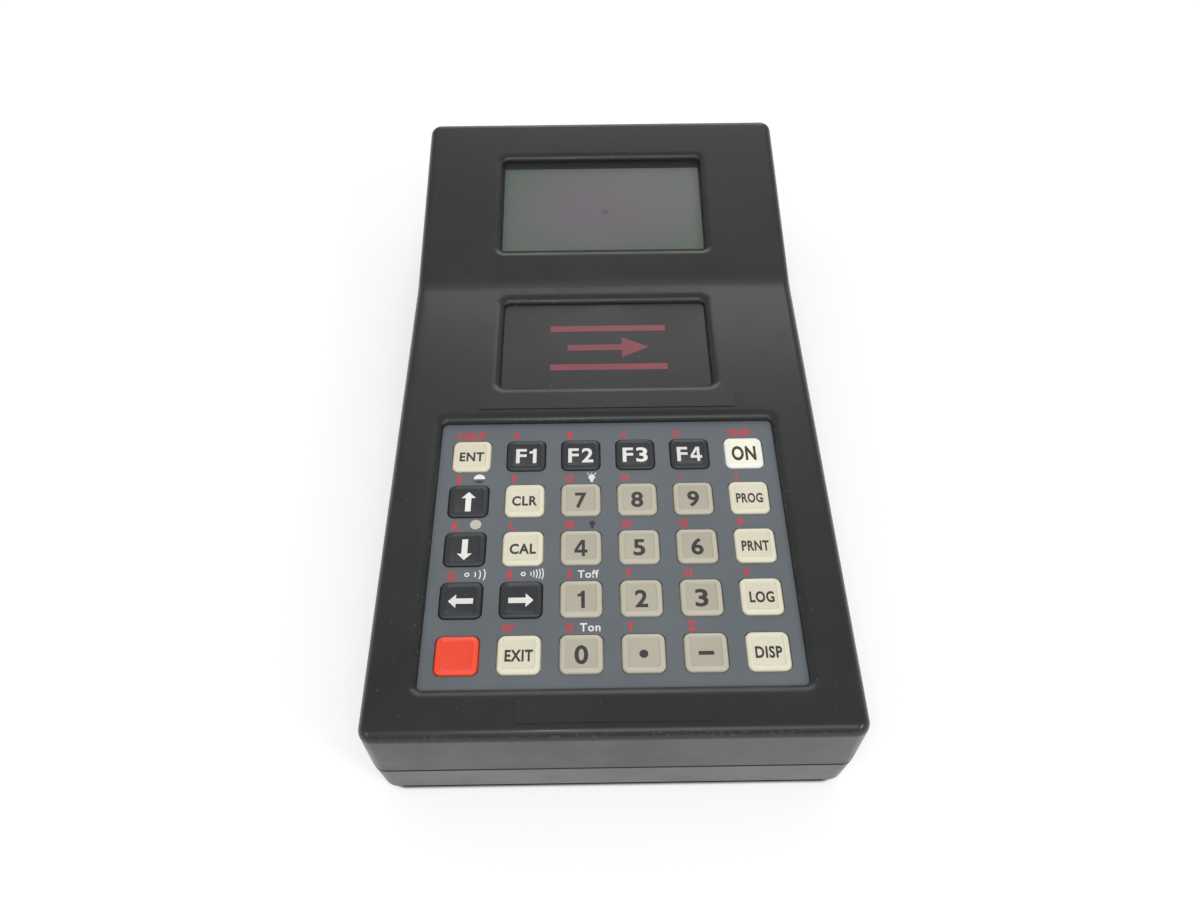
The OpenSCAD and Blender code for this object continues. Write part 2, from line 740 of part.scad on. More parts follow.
// Flat cable of thickness ribbon_t from z0 up to z1, bowed along Y
module ribbon(x, y, z0, z1) {
    function bow(i) = ribbon_bow * sin(180 * i / ribbon_steps);
    function rise(i) = z0 + (z1 - z0) * i / ribbon_steps;
    translate([x - ribbon_w / 2, y, 0]) rotate([90, 0, 90]) linear_extrude(height = ribbon_w) polygon(concat(
        [for (i = [0 : ribbon_steps]) [bow(i) - ribbon_t / 2, rise(i)]],
        [for (i = [ribbon_steps : -1 : 0]) [bow(i) + ribbon_t / 2, rise(i)]]
    ));
}

function tail_y() = panel_y + key_board_l / 2 - tail_in;
// Height and place of the lowest face of the header under the LCD board
function lcd_header_w() = lcd_board_top - board_t - header_h;
function cable_y() = crease_y + ribbon_v * cos(head_tilt) - lcd_header_w() * sin(head_tilt);
function cable_z() = low_h + ribbon_v * sin(head_tilt) + lcd_header_w() * cos(head_tilt);

module keypad_tail() {
    color("#c98a3a") ribbon(tail_x, tail_y(), board_top + header_h, low_h + key_board_top - board_t);
}

module display_cable() {
    color("#9a9a92") ribbon(0, cable_y(), board_top + header_h, cable_z() - slip_gap);
}

module main_board() {
    color("#1d5136") difference() {
        translate([0, board_y, 0]) layer(board_w, board_l, recess_r, board_z, board_top);
        for (p = board_spots()) boss(p, small_screw_r + small_hole_gap, board_z - over, board_top + over);
    }
}

module board_parts() {
    color("#2c2c2e") {
        for (s = PART_SHARES)
            translate([(s[0] - s[2] / 2) * board_w, board_y + (s[1] - s[3] / 2) * board_l, board_top])
                cube([s[2] * board_w, s[3] * board_l, s[4] * tall_part]);
        for (s = CAN_SHARES)
            translate([s[0] * board_w, board_y + s[1] * board_l, board_top])
                cylinder(r = s[2] * tall_part, h = tall_part);
        for (p = [[tail_x, tail_y()], [0, cable_y()]])
            translate([p[0] - header_w / 2, p[1] - header_l / 2, board_top]) cube([header_w, header_l, header_h]);
    }
}

// Small screw with its head on the side of the given sign, the board's face at zero
module small_screw(side) {
    translate([0, 0, side > 0 ? -small_screw_l : 0]) cylinder(r = small_screw_r, h = small_screw_l);
    translate([0, 0, side > 0 ? 0 : -small_head_h]) cylinder(r = small_head_r, h = small_head_h);
}

module board_screws() {
    color("#b8b9bb") {
        on_head() for (p = lcd_spots()) translate([p[0], p[1], lcd_board_top - board_t]) small_screw(-1);
        on_deck() for (p = key_spots()) translate([p[0], p[1], key_board_top - board_t]) small_screw(-1);
        for (p = board_spots()) translate([p[0], p[1], board_top]) small_screw(1);
    }
}

module battery_pack() {
    color("#3c6ea8") translate([0, cover_y - contact_room / 2, cell_z]) {
        for (i = [0 : cells - 1])
            translate([(i - (cells - 1) / 2) * cell_d, 0, 0]) rotate([90, 0, 0])
                cylinder(r = cell_d / 2, h = cell_l, center = true);
        cube([(cells - 1) * cell_d, cell_l, cell_d * wrap_share], center = true);
    }
}

module battery_contacts() {
    top = board_z;
    color("#d0b060") for (sx = [-1, 1]) {
        translate([sx * contact_x - contact_w / 2, cover_y + bay_l / 2 - contact_t, cell_z - contact_h / 2])
            cube([contact_w, contact_t, contact_h]);
        translate([sx * contact_x - contact_pin_r, contact_y() - contact_pin_r, cell_z])
            cube([2 * contact_pin_r, 2 * contact_pin_r, contact_h / 2]);
        translate([sx * contact_x, contact_y(), cell_z]) cylinder(r = contact_pin_r, h = top - cell_z);
    }
}

module battery_cover() {
    color("#303133") difference() {
        translate([0, cover_y, 0]) layer(cover_w, cover_l, cover_r, foot_gap, foot_gap + cover_t);
        for (p = cover_spots()) {
            boss(p, small_head_r + seat_gap, foot_gap - over, foot_gap + small_head_h);
            boss(p, small_screw_r + small_hole_gap, foot_gap, foot_gap + cover_t + over);
        }
    }
}

module cover_screws() {
    color("#a9aaac") for (p = cover_spots()) translate([p[0], p[1], foot_gap + small_head_h]) small_screw(-1);
}

module case_screws() {
    seat = foot_gap + case_head_seat;
    color("#6e6f72") for (p = case_spots()) {
        boss(p, case_head_r, seat - case_head_h, seat);
        boss(p, case_screw_r, seat, part_z + case_grip);
    }
}

module rubber_feet() {
    color("#17181a") for (p = foot_spots()) boss(p, foot_r, 0, foot_gap + foot_sink);
}

// Flange, barrel and bore of a round socket, its mouth at the top
module socket_shell(bore_r, bore_l, body_len) {
    barrel_r = bore_r + barrel_wall;
    difference() {
        union() {
            cylinder(r = barrel_r + flange_rim, h = flange_t);
            translate([0, 0, -body_len]) cylinder(r = barrel_r, h = body_len + flange_t / 2);
        }
        translate([0, 0, flange_t - bore_l]) cylinder(r = bore_r, h = bore_l + over);
        children();
    }
}

// Leg from the back of a socket down to the main board
module socket_leg() {
    translate([-leg_w / 2, 0, -barrel_l]) cube([leg_w, socket_rise, leg_w]);
}

module transducer_sockets() {
    color("#c4c5c7") for (x = [transducer_x - transducer_pitch / 2, transducer_x + transducer_pitch / 2])
        on_far_wall(x) {
            socket_shell(transducer_bore_r, transducer_bore_l, barrel_l)
                translate([0, 0, flange_t - transducer_bore_l - contact_hole_l])
                    cylinder(r = contact_hole_r, h = contact_hole_l + over);
            socket_leg();
        }
}

// Hexagon nut on the inside of the far wall
module socket_nut(bore_r) {
    barrel_r = bore_r + barrel_wall;
    translate([0, 0, -wall_t - nut_t]) difference() {
        cylinder(r = barrel_r + nut_rim, h = nut_t, $fn = 6);
        translate([0, 0, -over]) cylinder(r = barrel_r + screw_gap, h = nut_t + 2 * over);
    }
}

module socket_nuts() {
    color("#d2d3d5") {
        for (x = [transducer_x - transducer_pitch / 2, transducer_x + transducer_pitch / 2])
            on_far_wall(x) socket_nut(transducer_bore_r);
        on_far_wall(data_x) socket_nut(data_bore_r);
        on_far_wall(power_x) socket_nut(power_bore_r);
    }
}

module data_socket() {
    color("#9c9da0") on_far_wall(data_x) {
        socket_shell(data_bore_r, data_bore_l, barrel_l)
            for (i = [0 : data_contacts - 1])
                rotate([0, 0, 360 * i / data_contacts])
                    translate([data_bore_r * data_ring_share, 0, flange_t - data_bore_l - contact_hole_l])
                        cylinder(r = contact_hole_r, h = contact_hole_l + over);
        socket_leg();
    }
}

module power_jack() {
    color("#1b1c1e") on_far_wall(power_x) {
        socket_shell(power_bore_r, power_bore_l, barrel_l) { }
        translate([0, 0, -barrel_l + leg_w]) cylinder(r = power_pin_r, h = barrel_l - leg_w);
        socket_leg();
    }
}

top_case();
bottom_case();
case_seal();
display_window();
lcd_frame();
lcd_glass();
lcd_backlight();
lcd_board();
badge_plate();
upper_label();
lower_label();
keypad_overlay();
keypad_spacer();
snap_domes();
keypad_board();
keypad_tail();
main_board();
board_parts();
board_screws();
display_cable();
battery_pack();
battery_contacts();
battery_cover();
cover_screws();
case_screws();
rubber_feet();
transducer_sockets();
socket_nuts();
power_jack();
data_socket();
for (k = KEYS)
    color(k[3]) key(k[1], k[2]);
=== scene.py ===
"""Dresses a portable ultrasonic flow meter: its case shells, display, keypad, battery bay and sockets.

Every class holds its own sizes in millimetres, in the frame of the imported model: the origin is on the floor
under the middle of the case, +Y points to the display end and +Z is up.
"""

from __future__ import annotations

import logging
import math
from collections.abc import Callable, Sequence
from dataclasses import dataclass
from enum import Enum
from functools import cached_property

import bmesh
import bpy
from mathutils import Euler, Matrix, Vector
from mathutils.geometry import delaunay_2d_cdt


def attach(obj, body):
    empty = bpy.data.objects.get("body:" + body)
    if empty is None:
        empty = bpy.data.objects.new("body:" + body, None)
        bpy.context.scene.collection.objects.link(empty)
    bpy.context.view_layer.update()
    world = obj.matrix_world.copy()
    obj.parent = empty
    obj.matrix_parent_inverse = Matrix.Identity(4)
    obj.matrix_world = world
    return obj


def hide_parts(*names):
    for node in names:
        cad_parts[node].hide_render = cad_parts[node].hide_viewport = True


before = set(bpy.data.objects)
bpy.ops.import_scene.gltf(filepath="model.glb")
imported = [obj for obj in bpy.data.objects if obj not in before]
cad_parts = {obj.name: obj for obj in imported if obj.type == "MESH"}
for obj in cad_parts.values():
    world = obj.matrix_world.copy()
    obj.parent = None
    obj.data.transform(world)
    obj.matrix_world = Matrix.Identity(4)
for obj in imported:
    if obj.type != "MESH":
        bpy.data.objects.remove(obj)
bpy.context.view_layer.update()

LOG = logging.getLogger("flow_meter")
MM = 0.001
WELD_MM = 0.002
Point = tuple[float, float]
Place = tuple[float, float, float]
Colour = tuple[float, float, float]
Socket = bpy.types.NodeSocket
Node = bpy.types.Node
Tree = bpy.types.NodeTree
Piece = bpy.types.Object


def linear(red: int, green: int, blue: int) -> Colour:
    """Turn an sRGB colour into the linear colour that a shader takes.

    Args:
        red: Red from 0 to 255.
        green: Green from 0 to 255.
        blue: Blue from 0 to 255.

    Returns:
        The three linear channels.
    """

    def channel(value: int) -> float:
        """Linearise one channel."""
        share = value / 255
        return share / 12.92 if share <= 0.04045 else ((share + 0.055) / 1.055) ** 2.4

    return channel(red), channel(green), channel(blue)


# Shader groups and finishes


class Graph:
    """Adds nodes and links to one node tree with short calls."""

    def __init__(self, tree: Tree) -> None:
        """Keep the tree."""
        self.tree = tree

    def node(self, kind: str, inputs: dict[str | int, object] | None = None, **values: object) -> Node:
        """Add a node, set its properties and then feed its inputs.

        Args:
            kind: The node's type name.
            inputs: What goes into its inputs, by their name or number.
            values: Properties of the node by name.

        Returns:
            The new node.
        """
        made = self.tree.nodes.new(kind)
        for name, value in values.items():
            setattr(made, name, value)
        for key, value in (inputs or {}).items():
            self.feed(made.inputs[key], value)
        return made

    def feed(self, socket: Socket, value: object) -> None:
        """Link another node's output to a socket, or set the socket's own value.

        Args:
            socket: The input.
            value: An output of another node, or a plain value; a colour has three channels.
        """
        if isinstance(value, bpy.types.NodeSocket):
            self.tree.links.new(value, socket)
        elif isinstance(value, tuple) and len(value) == 3 and socket.type == "RGBA":
            socket.default_value = (*value, 1.0)
        else:
            socket.default_value = value

    def sum(self, operation: str, *values: object) -> Socket:
        """Add a Math node and return its output."""
        return self.node("ShaderNodeMath", dict(enumerate(values)), operation=operation).outputs[0]

    def product(self, *values: object) -> Socket:
        """Multiply two or more values in order.

        Args:
            values: Numbers and outputs.

        Returns:
            Their product.
        """
        made = values[0]
        for value in values[1:]:
            made = self.sum("MULTIPLY", made, value)
        return made


class ShaderGraph(Graph):
    """A node tree of a material or of a shader group."""

    def place(self) -> Socket:
        """The place on the piece, in Object coordinates."""
        return self.node("ShaderNodeTexCoord").outputs["Object"]

    def axes(self, vector: Socket) -> bpy.types.NodeOutputs:
        """The X, Y and Z of a vector."""
        return self.node("ShaderNodeSeparateXYZ", {0: vector}).outputs

    def upward(self) -> Socket:
        """The Z of the surface's normal: 1 where it looks up."""
        return self.axes(self.node("ShaderNodeNewGeometry").outputs["Normal"])["Z"]

    def vector(self, operation: str, *values: object) -> bpy.types.NodeOutputs:
        """Add a Vector Math node and return its outputs."""
        return self.node("ShaderNodeVectorMath", dict(enumerate(values)), operation=operation).outputs

    def remap(self, value: object, low: object, high: object,
              to_low: float = 0.0, to_high: float = 1.0) -> Socket:
        """Map a value from one range to another with soft ends, clamped.

        Args:
            value: The value.
            low: Where the first range starts.
            high: Where the first range ends.
            to_low: Where the second range starts.
            to_high: Where the second range ends.

        Returns:
            The mapped value.
        """
        ends = {"Value": value, "From Min": low, "From Max": high, "To Min": to_low, "To Max": to_high}
        return self.node("ShaderNodeMapRange", ends, interpolation_type="SMOOTHSTEP").outputs["Result"]

    def blend(self, share: object, first: object, second: object) -> Socket:
        """Mix two colours by a share."""
        return self.node("ShaderNodeMix", {"Factor": share, 6: first, 7: second}, data_type="RGBA").outputs[2]

    def pick(self, share: Socket, first: Socket, second: Socket) -> Socket:
        """Mix two numbers by a share."""
        mixed = self.node("ShaderNodeMix", {"Factor": share, 2: first, 3: second}, data_type="FLOAT")
        return mixed.outputs[0]

    def noise(self, vector: Socket, scale: object, detail: float = 2.0, rough: float = 0.5) -> Socket:
        """Add a noise texture and return its value."""
        given = {"Vector": vector, "Scale": scale, "Detail": detail, "Roughness": rough}
        return self.node("ShaderNodeTexNoise", given).outputs["Fac"]


class SharedGroups:
    """The shader groups that several finishes place, each made when it is first asked for."""

    drift_scale: float = 38.0
    wear_scale: float = 60.0
    speckle_scale: float = 900.0

    @staticmethod
    def start(name: str, inputs: dict[str, float],
              outputs: Sequence[str]) -> tuple[ShaderGraph, bpy.types.NodeOutputs, bpy.types.NodeInputs]:
        """Open a new group whose sockets all hold numbers.

        Args:
            name: The group's name.
            inputs: The default of each input.
            outputs: The names of the outputs.

        Returns:
            The graph, what the group is given and what it puts out.
        """
        graph = ShaderGraph(bpy.data.node_groups.new(name, "ShaderNodeTree"))
        face = graph.tree.interface
        for label, value in inputs.items():
            face.new_socket(label, in_out="INPUT", socket_type="NodeSocketFloat").default_value = value
        for label in outputs:
            face.new_socket(label, in_out="OUTPUT", socket_type="NodeSocketFloat")
        return graph, graph.node("NodeGroupInput").outputs, graph.node("NodeGroupOutput").inputs

    @cached_property
    def grain(self) -> Tree:
        """The fine texture of a moulded or painted face: a height and a slow patchiness.

        Returns:
            The group's tree.
        """
        graph, given, out = self.start("moulded_grain", {"Size": 0.0006, "Coarse": 0.2}, ("Height", "Patch"))
        place = graph.place()
        fine = graph.noise(place, graph.sum("DIVIDE", 1.0, given["Size"]), rough=0.6)
        broad = graph.noise(place, graph.sum("DIVIDE", 0.25, given["Size"]))
        drift = graph.noise(place, self.drift_scale, 3.0, 0.6)
        graph.feed(out["Height"], graph.pick(given["Coarse"], fine, broad))
        graph.feed(out["Patch"], graph.remap(drift, 0.32, 0.68))
        return graph.tree

    @cached_property
    def dust(self) -> Tree:
        """Sparse specks of dust and lint, denser on faces that look up.

        Returns:
            The group's tree.
        """
        graph, given, out = self.start("dust_specks", {"Amount": 0.3, "Speck Size": 0.0016}, ("Mask",))
        scale = graph.sum("DIVIDE", 1.0, given["Speck Size"])
        spread = {"Vector": graph.place(), "Scale": scale}
        cells = graph.node("ShaderNodeTexVoronoi", spread, feature="F1").outputs
        chance = graph.node("ShaderNodeSeparateColor", {0: cells["Color"]}).outputs[0]
        speck = graph.remap(cells["Distance"], 0.04, 0.13, 1.0, 0.0)
        few = graph.remap(chance, 0.86, 0.9)
        facing = graph.remap(graph.upward(), 0.2, 0.9)
        graph.feed(out["Mask"], graph.product(speck, few, facing, given["Amount"]))
        return graph.tree

    @cached_property
    def rub_and_sheen(self) -> Tree:
        """Speckled wear where hands and tables scuff the rounded edges, and a painted highlight along them,
        found from the face's turn.

        Returns:
            The group's tree.
        """
        turns = {"Low Turn": 0.35, "High Turn": 0.9, "Amount": 0.5}
        graph, given, out = self.start("edge_rub", turns, ("Mask",))
        place, turn = graph.place(), graph.upward()
        rising = graph.remap(turn, given["Low Turn"], 0.62)
        falling = graph.remap(turn, 0.72, given["High Turn"], 1.0, 0.0)
        speckle = graph.remap(graph.noise(place, self.speckle_scale, 3.0, 0.7), 0.5, 0.66)
        broad = graph.remap(graph.noise(place, self.wear_scale), 0.35, 0.65, 0.25, 1.0)
        graph.feed(out["Mask"], graph.product(rising, falling, speckle, broad, given["Amount"]))
        return graph.tree


GROUPS = SharedGroups()
DUST_GREY = linear(176, 172, 160)


def paler(colour: Colour, times: float, more: float = 0.0) -> Colour:
    """Brighten a linear colour, up to white."""
    return tuple(min(channel * times + more, 1.0) for channel in colour)


@dataclass(frozen=True)
class Finish:
    """A surface with fine grain, patchy gloss and a little dust.

    Attributes:
        name: The material's name.
        colour: Linear base colour.
        rough: Roughness of the bare surface.
        grain_mm: Size of the moulded grain in millimetres.
        relief_mm: Depth of the grain in millimetres.
        patch: How far the colour drifts from place to place, as a share.
        dust: Amount of dust specks.
        rub_and_sheen: Amount of wear and of painted highlight on the rounded edges.
        metal: 1 for bare metal.
        specular: Specular level.
        coat: Weight of a clear coat.
        coat_rough: Roughness of the clear coat.
    """

    name: str
    colour: Colour
    rough: float = 0.5
    grain_mm: float = 0.6
    relief_mm: float = 0.02
    patch: float = 0.08
    dust: float = 0.0
    rub_and_sheen: float = 0.0
    metal: float = 0.0
    specular: float = 0.5
    coat: float = 0.0
    coat_rough: float = 0.2

    def material(self) -> bpy.types.Material:
        """Return the material, which is made the first time.

        Returns:
            The material of this finish.
        """
        known = bpy.data.materials.get(self.name)
        if known is not None:
            return known
        made = bpy.data.materials.new(self.name)
        made.use_nodes = True
        made.diffuse_color = (*self.colour, 1.0)
        graph = ShaderGraph(made.node_tree)
        shader = next(n for n in made.node_tree.nodes if n.type == "BSDF_PRINCIPLED")
        shader.inputs["Metallic"].default_value = self.metal
        shader.inputs["Specular IOR Level"].default_value = self.specular
        if self.coat:
            shader.inputs["Coat Weight"].default_value = self.coat
            shader.inputs["Coat Roughness"].default_value = self.coat_rough
        self.dress(graph, shader)
        return made

    def dress(self, graph: ShaderGraph, shader: Node) -> None:
        """Feed the shader's colour, roughness and normal.

        Args:
            graph: The material's graph.
            shader: Its Principled BSDF.
        """
        grain = graph.node("ShaderNodeGroup", {"Size": self.grain_mm * MM}, node_tree=GROUPS.grain).outputs
        darker, lighter = (paler(self.colour, 1 + sign * self.patch) for sign in (-1, 1))
        colour = graph.blend(grain["Patch"], darker, lighter)
        colour = self.tint(graph, colour)
        swing = min(self.patch, 0.05)
        rough = graph.remap(grain["Patch"], 0.0, 1.0, self.rough - swing, self.rough + swing)
        # The edge mask lightens the rounded edges with wear and with a painted highlight.
        if self.rub_and_sheen:
            worn = graph.node("ShaderNodeGroup", {"Amount": self.rub_and_sheen}, node_tree=GROUPS.rub_and_sheen).outputs["Mask"]
            colour = graph.blend(worn, colour, paler(self.colour, 4.0, 0.12))
        if self.dust:
            dust = graph.node("ShaderNodeGroup", {"Amount": self.dust}, node_tree=GROUPS.dust)
            specks = dust.outputs["Mask"]
            colour = graph.blend(specks, colour, DUST_GREY)
            rough = graph.sum("ADD", rough, graph.product(specks, 0.3))
        relief = {"Distance": self.relief_mm * MM, "Strength": 1.0,
                  "Height": self.height(graph, grain["Height"])}
        graph.feed(shader.inputs["Base Color"], colour)
        graph.feed(shader.inputs["Roughness"], rough)
        graph.feed(shader.inputs["Normal"], graph.node("ShaderNodeBump", relief).outputs["Normal"])

    def tint(self, graph: ShaderGraph, colour: Socket) -> Socket:
        """A place for a finish to paint over its base colour; plain here."""
        return colour

    def height(self, graph: ShaderGraph, grain: Socket) -> Socket:
        """A place for a finish to add relief to the grain; plain here."""
        return grain


@dataclass(frozen=True)
class WindowFinish(Finish):
    """Clear plastic of the display window: faint, glossy and almost all see-through."""

    clear: float = 0.88

    def dress(self, graph: ShaderGraph, shader: Node) -> None:
        """Feed the shader as the plain finish does, and let light through."""
        super().dress(graph, shader)
        shader.inputs["Alpha"].default_value = 1 - self.clear


@dataclass(frozen=True)
class CrystalFinish(Finish):
    """The liquid crystal's rear polariser: grey-green at the edges and a warmer, purplish grey in the middle.

    Attributes:
        middle: Linear colour in the middle.
        bright: Linear colour towards the far right corner.
        bruise: Linear colour of the small dark bruise under the glass.
        centre_mm: Place of the middle of the display.
        half_mm: Half width and half length of the display.
        bruise_mm: Place of the bruise, from the middle.
    """

    middle: Colour = linear(134, 128, 135)
    bright: Colour = linear(152, 152, 148)
    bruise: Colour = linear(72, 70, 88)
    centre_mm: Place = (0.0, 80.1, 40.4)
    half_mm: Point = (36.2, 19.3)
    bruise_mm: Point = (1.0, -1.6)

    def tint(self, graph: ShaderGraph, colour: Socket) -> Socket:
        """Fade from the edge colour to the middle's, and add the bruise.

        Args:
            graph: The material's graph.
            colour: The edge colour.

        Returns:
            The painted colour.
        """
        per_half = (1 / (self.half_mm[0] * MM), 1 / (self.half_mm[1] * MM), 0.0)
        moved = graph.vector("SUBTRACT", graph.place(), Vector(self.centre_mm) * MM)[0]
        shares = graph.vector("MULTIPLY", moved, per_half)[0]
        near = graph.remap(graph.vector("LENGTH", shares)["Value"], 0.35, 1.35, 1.0, 0.0)
        axes = graph.axes(shares)
        side = graph.sum("ADD", axes["X"], axes["Y"])
        mixed = graph.blend(near, colour, self.middle)
        mixed = graph.blend(graph.remap(side, -0.4, 1.9, 0.0, 0.5), mixed, self.bright)
        away = graph.vector("DISTANCE", moved, Vector((*self.bruise_mm, 0.0)) * MM)["Value"]
        return graph.blend(graph.remap(away, 0.4 * MM, 1.9 * MM, 0.5, 0.0), mixed, self.bruise)


@dataclass(frozen=True)
class KeyFinish(Finish):
    """Moulded keys whose outer band is paler than the square inside it.

    Attributes:
        step_mm: Pitch of the keys.
        start_mm: Middle of the first key.
        half_mm: Half width of the square.
        pale: How much paler the band is.
    """

    rough: float = 0.42
    grain_mm: float = 0.3
    relief_mm: float = 0.006
    patch: float = 0.04
    step_mm: float = 16.56
    start_mm: Point = (-41.4, -30.2)
    half_mm: float = 4.35
    pale: float = 1.2

    def tint(self, graph: ShaderGraph, colour: Socket) -> Socket:
        """Lighten what lies farther from the middle of its key than the ridge.

        Args:
            graph: The material's graph.
            colour: The colour of the square.

        Returns:
            The painted colour.
        """
        axes, reach = graph.axes(graph.place()), []
        for axis, start in zip("XY", self.start_mm):
            steps = graph.sum("DIVIDE", graph.sum("SUBTRACT", axes[axis], start * MM), self.step_mm * MM)
            part = graph.sum("FRACT", graph.sum("ADD", steps, 0.5))
            reach.append(graph.sum("ABSOLUTE", graph.sum("SUBTRACT", part, 0.5)))
        half = self.half_mm / self.step_mm
        share = graph.remap(graph.sum("MAXIMUM", *reach), half - 0.01, half + 0.01)
        return graph.blend(share, colour, paler(self.colour, self.pale))


@dataclass(frozen=True)
class BoardFinish(Finish):
    """Green solder mask over copper tracks, with fine grid lines of track."""

    track_mm: float = 2.0

    def tint(self, graph: ShaderGraph, colour: Socket) -> Socket:
        """Paint lighter tracks under the mask."""
        return graph.blend(graph.product(self.tracks(graph), 0.55), colour, paler(self.colour, 2.6, 0.01))

    def height(self, graph: ShaderGraph, grain: Socket) -> Socket:
        """Raise the tracks a little."""
        return graph.sum("ADD", graph.product(self.tracks(graph), 0.8), graph.product(grain, 0.2))

    def tracks(self, graph: ShaderGraph) -> Socket:
        """Masks of straight tracks that change direction from cell to cell.

        Args:
            graph: The material's graph.

        Returns:
            The mask: 1 on a track.
        """
        place = graph.place()
        given = {"Vector": place, "Scale": 1 / (self.track_mm * MM * 7), "Randomness": 0.6}
        cells = graph.node("ShaderNodeTexVoronoi", given, feature="F1", distance="CHEBYCHEV").outputs
        chance = graph.node("ShaderNodeSeparateColor", {0: cells["Color"]}).outputs
        axes = graph.axes(place)
        along = graph.pick(graph.sum("GREATER_THAN", chance[0], 0.5), axes["X"], axes["Y"])
        wave = graph.sum("FRACT", graph.sum("DIVIDE", along, self.track_mm * MM))
        line = graph.remap(graph.sum("ABSOLUTE", graph.sum("SUBTRACT", wave, 0.5)), 0.12, 0.2, 1.0, 0.0)
        return graph.product(line, graph.sum("GREATER_THAN", chance[1], 0.3))


@dataclass(frozen=True)
class BrushedFinish(Finish):
    """Turned or drawn metal with fine lines along one axis."""

    metal: float = 1.0
    grain_mm: float = 0.25
    line_scale: float = 5200.0

    def height(self, graph: ShaderGraph, grain: Socket) -> Socket:
        """Stretch the grain into fine lines."""
        lines = graph.noise(graph.vector("MULTIPLY", graph.place(), (1.0, 0.12, 1.0))[0], self.line_scale)
        return graph.sum("ADD", graph.product(lines, 0.7), graph.product(grain, 0.3))


@dataclass(frozen=True)
class InkFinish(Finish):
    """Screen-printed ink: matt and almost smooth."""

    grain_mm: float = 0.2
    relief_mm: float = 0.002


# The case
# Both shells' edge amounts paint a highlight on their rounded edges as well as wear.
CASE_UPPER = Finish("upper_shell_moulded", linear(33, 34, 34), 0.42, 0.45, 0.008, dust=0.35, rub_and_sheen=0.22,
                    specular=0.36, coat=0.3, coat_rough=0.16)
# Lower shell: the dark plastic is made paler than the upper shell's, which paints on the white floor's light
# reflected in its walls.
CASE_LOWER_PAINTED_LIGHT = Finish("lower_shell_moulded", linear(68, 68, 71), 0.4, 0.45, 0.01, patch=0.06, dust=0.1,
                    rub_and_sheen=0.15, specular=0.85)
RUBBER = Finish("black_rubber", linear(24, 24, 25), 0.75, 0.3, 0.02, patch=0.2, dust=0.2)

# Display, films and panel
WINDOW = WindowFinish("display_window_clear", linear(84, 86, 84), 0.14, 2.5, 0.0, patch=0.0)
LCD_SURROUND = Finish("lcd_frame_painted_steel", linear(22, 23, 23), 0.5, 0.3, 0.006)
CRYSTAL = CrystalFinish("lcd_glass_grey_film", linear(116, 130, 118), 0.3, 0.25, 0.0, patch=0.0)
DIFFUSER = Finish("backlight_white_diffuser", linear(214, 222, 208), 0.6, 0.8, 0.01)
BADGE_FILM = Finish("badge_satin_film", linear(31, 32, 32), 0.4, 0.2, 0.004, dust=0.6)
STRIP_FILM = Finish("label_strip_satin_film", linear(33, 34, 35), 0.4, 0.2, 0.003, patch=0.06, dust=0.5)
PANEL_FILM = Finish("keypad_panel_blue_grey", linear(99, 105, 110), 0.5, 0.25, 0.008, patch=0.05, dust=0.3)

# Metals
DOME_STEEL = BrushedFinish("snap_dome_steel", linear(196, 196, 190), 0.28, 0.2, 0.002)
SCREW_STEEL = BrushedFinish("zinc_screw_steel", linear(186, 188, 190), 0.3, relief_mm=0.006)
DARK_STEEL = BrushedFinish("blackened_screw_steel", linear(96, 97, 99), 0.36, relief_mm=0.006)
NICKEL = BrushedFinish("socket_nickel_plate", linear(205, 204, 200), 0.24, 0.3, 0.004)
SATIN_STEEL = BrushedFinish("data_socket_satin_steel", linear(176, 177, 178), 0.34, 0.3, 0.005)
GILT = BrushedFinish("gilt_contact_brass", linear(222, 186, 108), 0.26, 0.2, 0.003)

# Plastics and boards
SPACER = Finish("keypad_spacer_nylon", linear(196, 198, 192), 0.6, 0.5, 0.01)
JACK_NYLON = Finish("power_jack_nylon", linear(26, 26, 28), 0.42, 0.35, 0.008)
BOARD_GREEN = BoardFinish("circuit_board_green", linear(24, 84, 54), 0.34, 0.4, 0.03)
EPOXY = Finish("chip_epoxy", linear(34, 34, 36), 0.55, 0.2, 0.01)
RIBBON = Finish("ribbon_cable_grey", linear(150, 152, 148), 0.5, 1.2, 0.02)
AMBER_TAIL = Finish("keypad_tail_amber_film", linear(190, 120, 44), 0.3, 0.6, 0.004)
CELL_WRAP = Finish("battery_cell_wrap", linear(52, 98, 160), 0.28, 0.5, 0.004, coat=0.4)

# Inks
RED_INK = InkFinish("red_letter_ink", linear(204, 58, 66), patch=0.1)
DULL_RED_INK = InkFinish("pictogram_dull_red_ink", linear(138, 62, 74), 0.42, patch=0.12)
WHITE_INK = InkFinish("white_letter_ink", linear(236, 236, 230))
MOON_INK = InkFinish("moon_grey_ink", linear(184, 180, 172), patch=0.2)
DARK_INK = InkFinish("dark_letter_ink", linear(58, 56, 54))


# Meshes


def inside(point: Sequence[float], loop: Sequence[Point]) -> bool:
    """Tell whether a point lies within a closed loop.

    Args:
        point: The point; only its first two numbers count.
        loop: Corners of the loop.

    Returns:
        True within the loop.
    """
    x, y = point[0], point[1]
    odd = False
    for (x1, y1), (x2, y2) in zip(loop, (*loop[1:], loop[0])):
        if (y1 > y) != (y2 > y) and x < (x2 - x1) * (y - y1) / (y2 - y1) + x1:
            odd = not odd
    return odd


def polar(radius: float, angle: float) -> Point:
    """A point at a distance from the origin, along an angle in degrees."""
    return radius * math.cos(math.radians(angle)), radius * math.sin(math.radians(angle))


def circle(centre: Point, radius: float, steps: int = 32) -> list[Point]:
    """Points of a circle, anticlockwise."""
    turns = [math.tau * i / steps for i in range(steps)]
    return [(centre[0] + radius * math.cos(turn), centre[1] + radius * math.sin(turn)) for turn in turns]


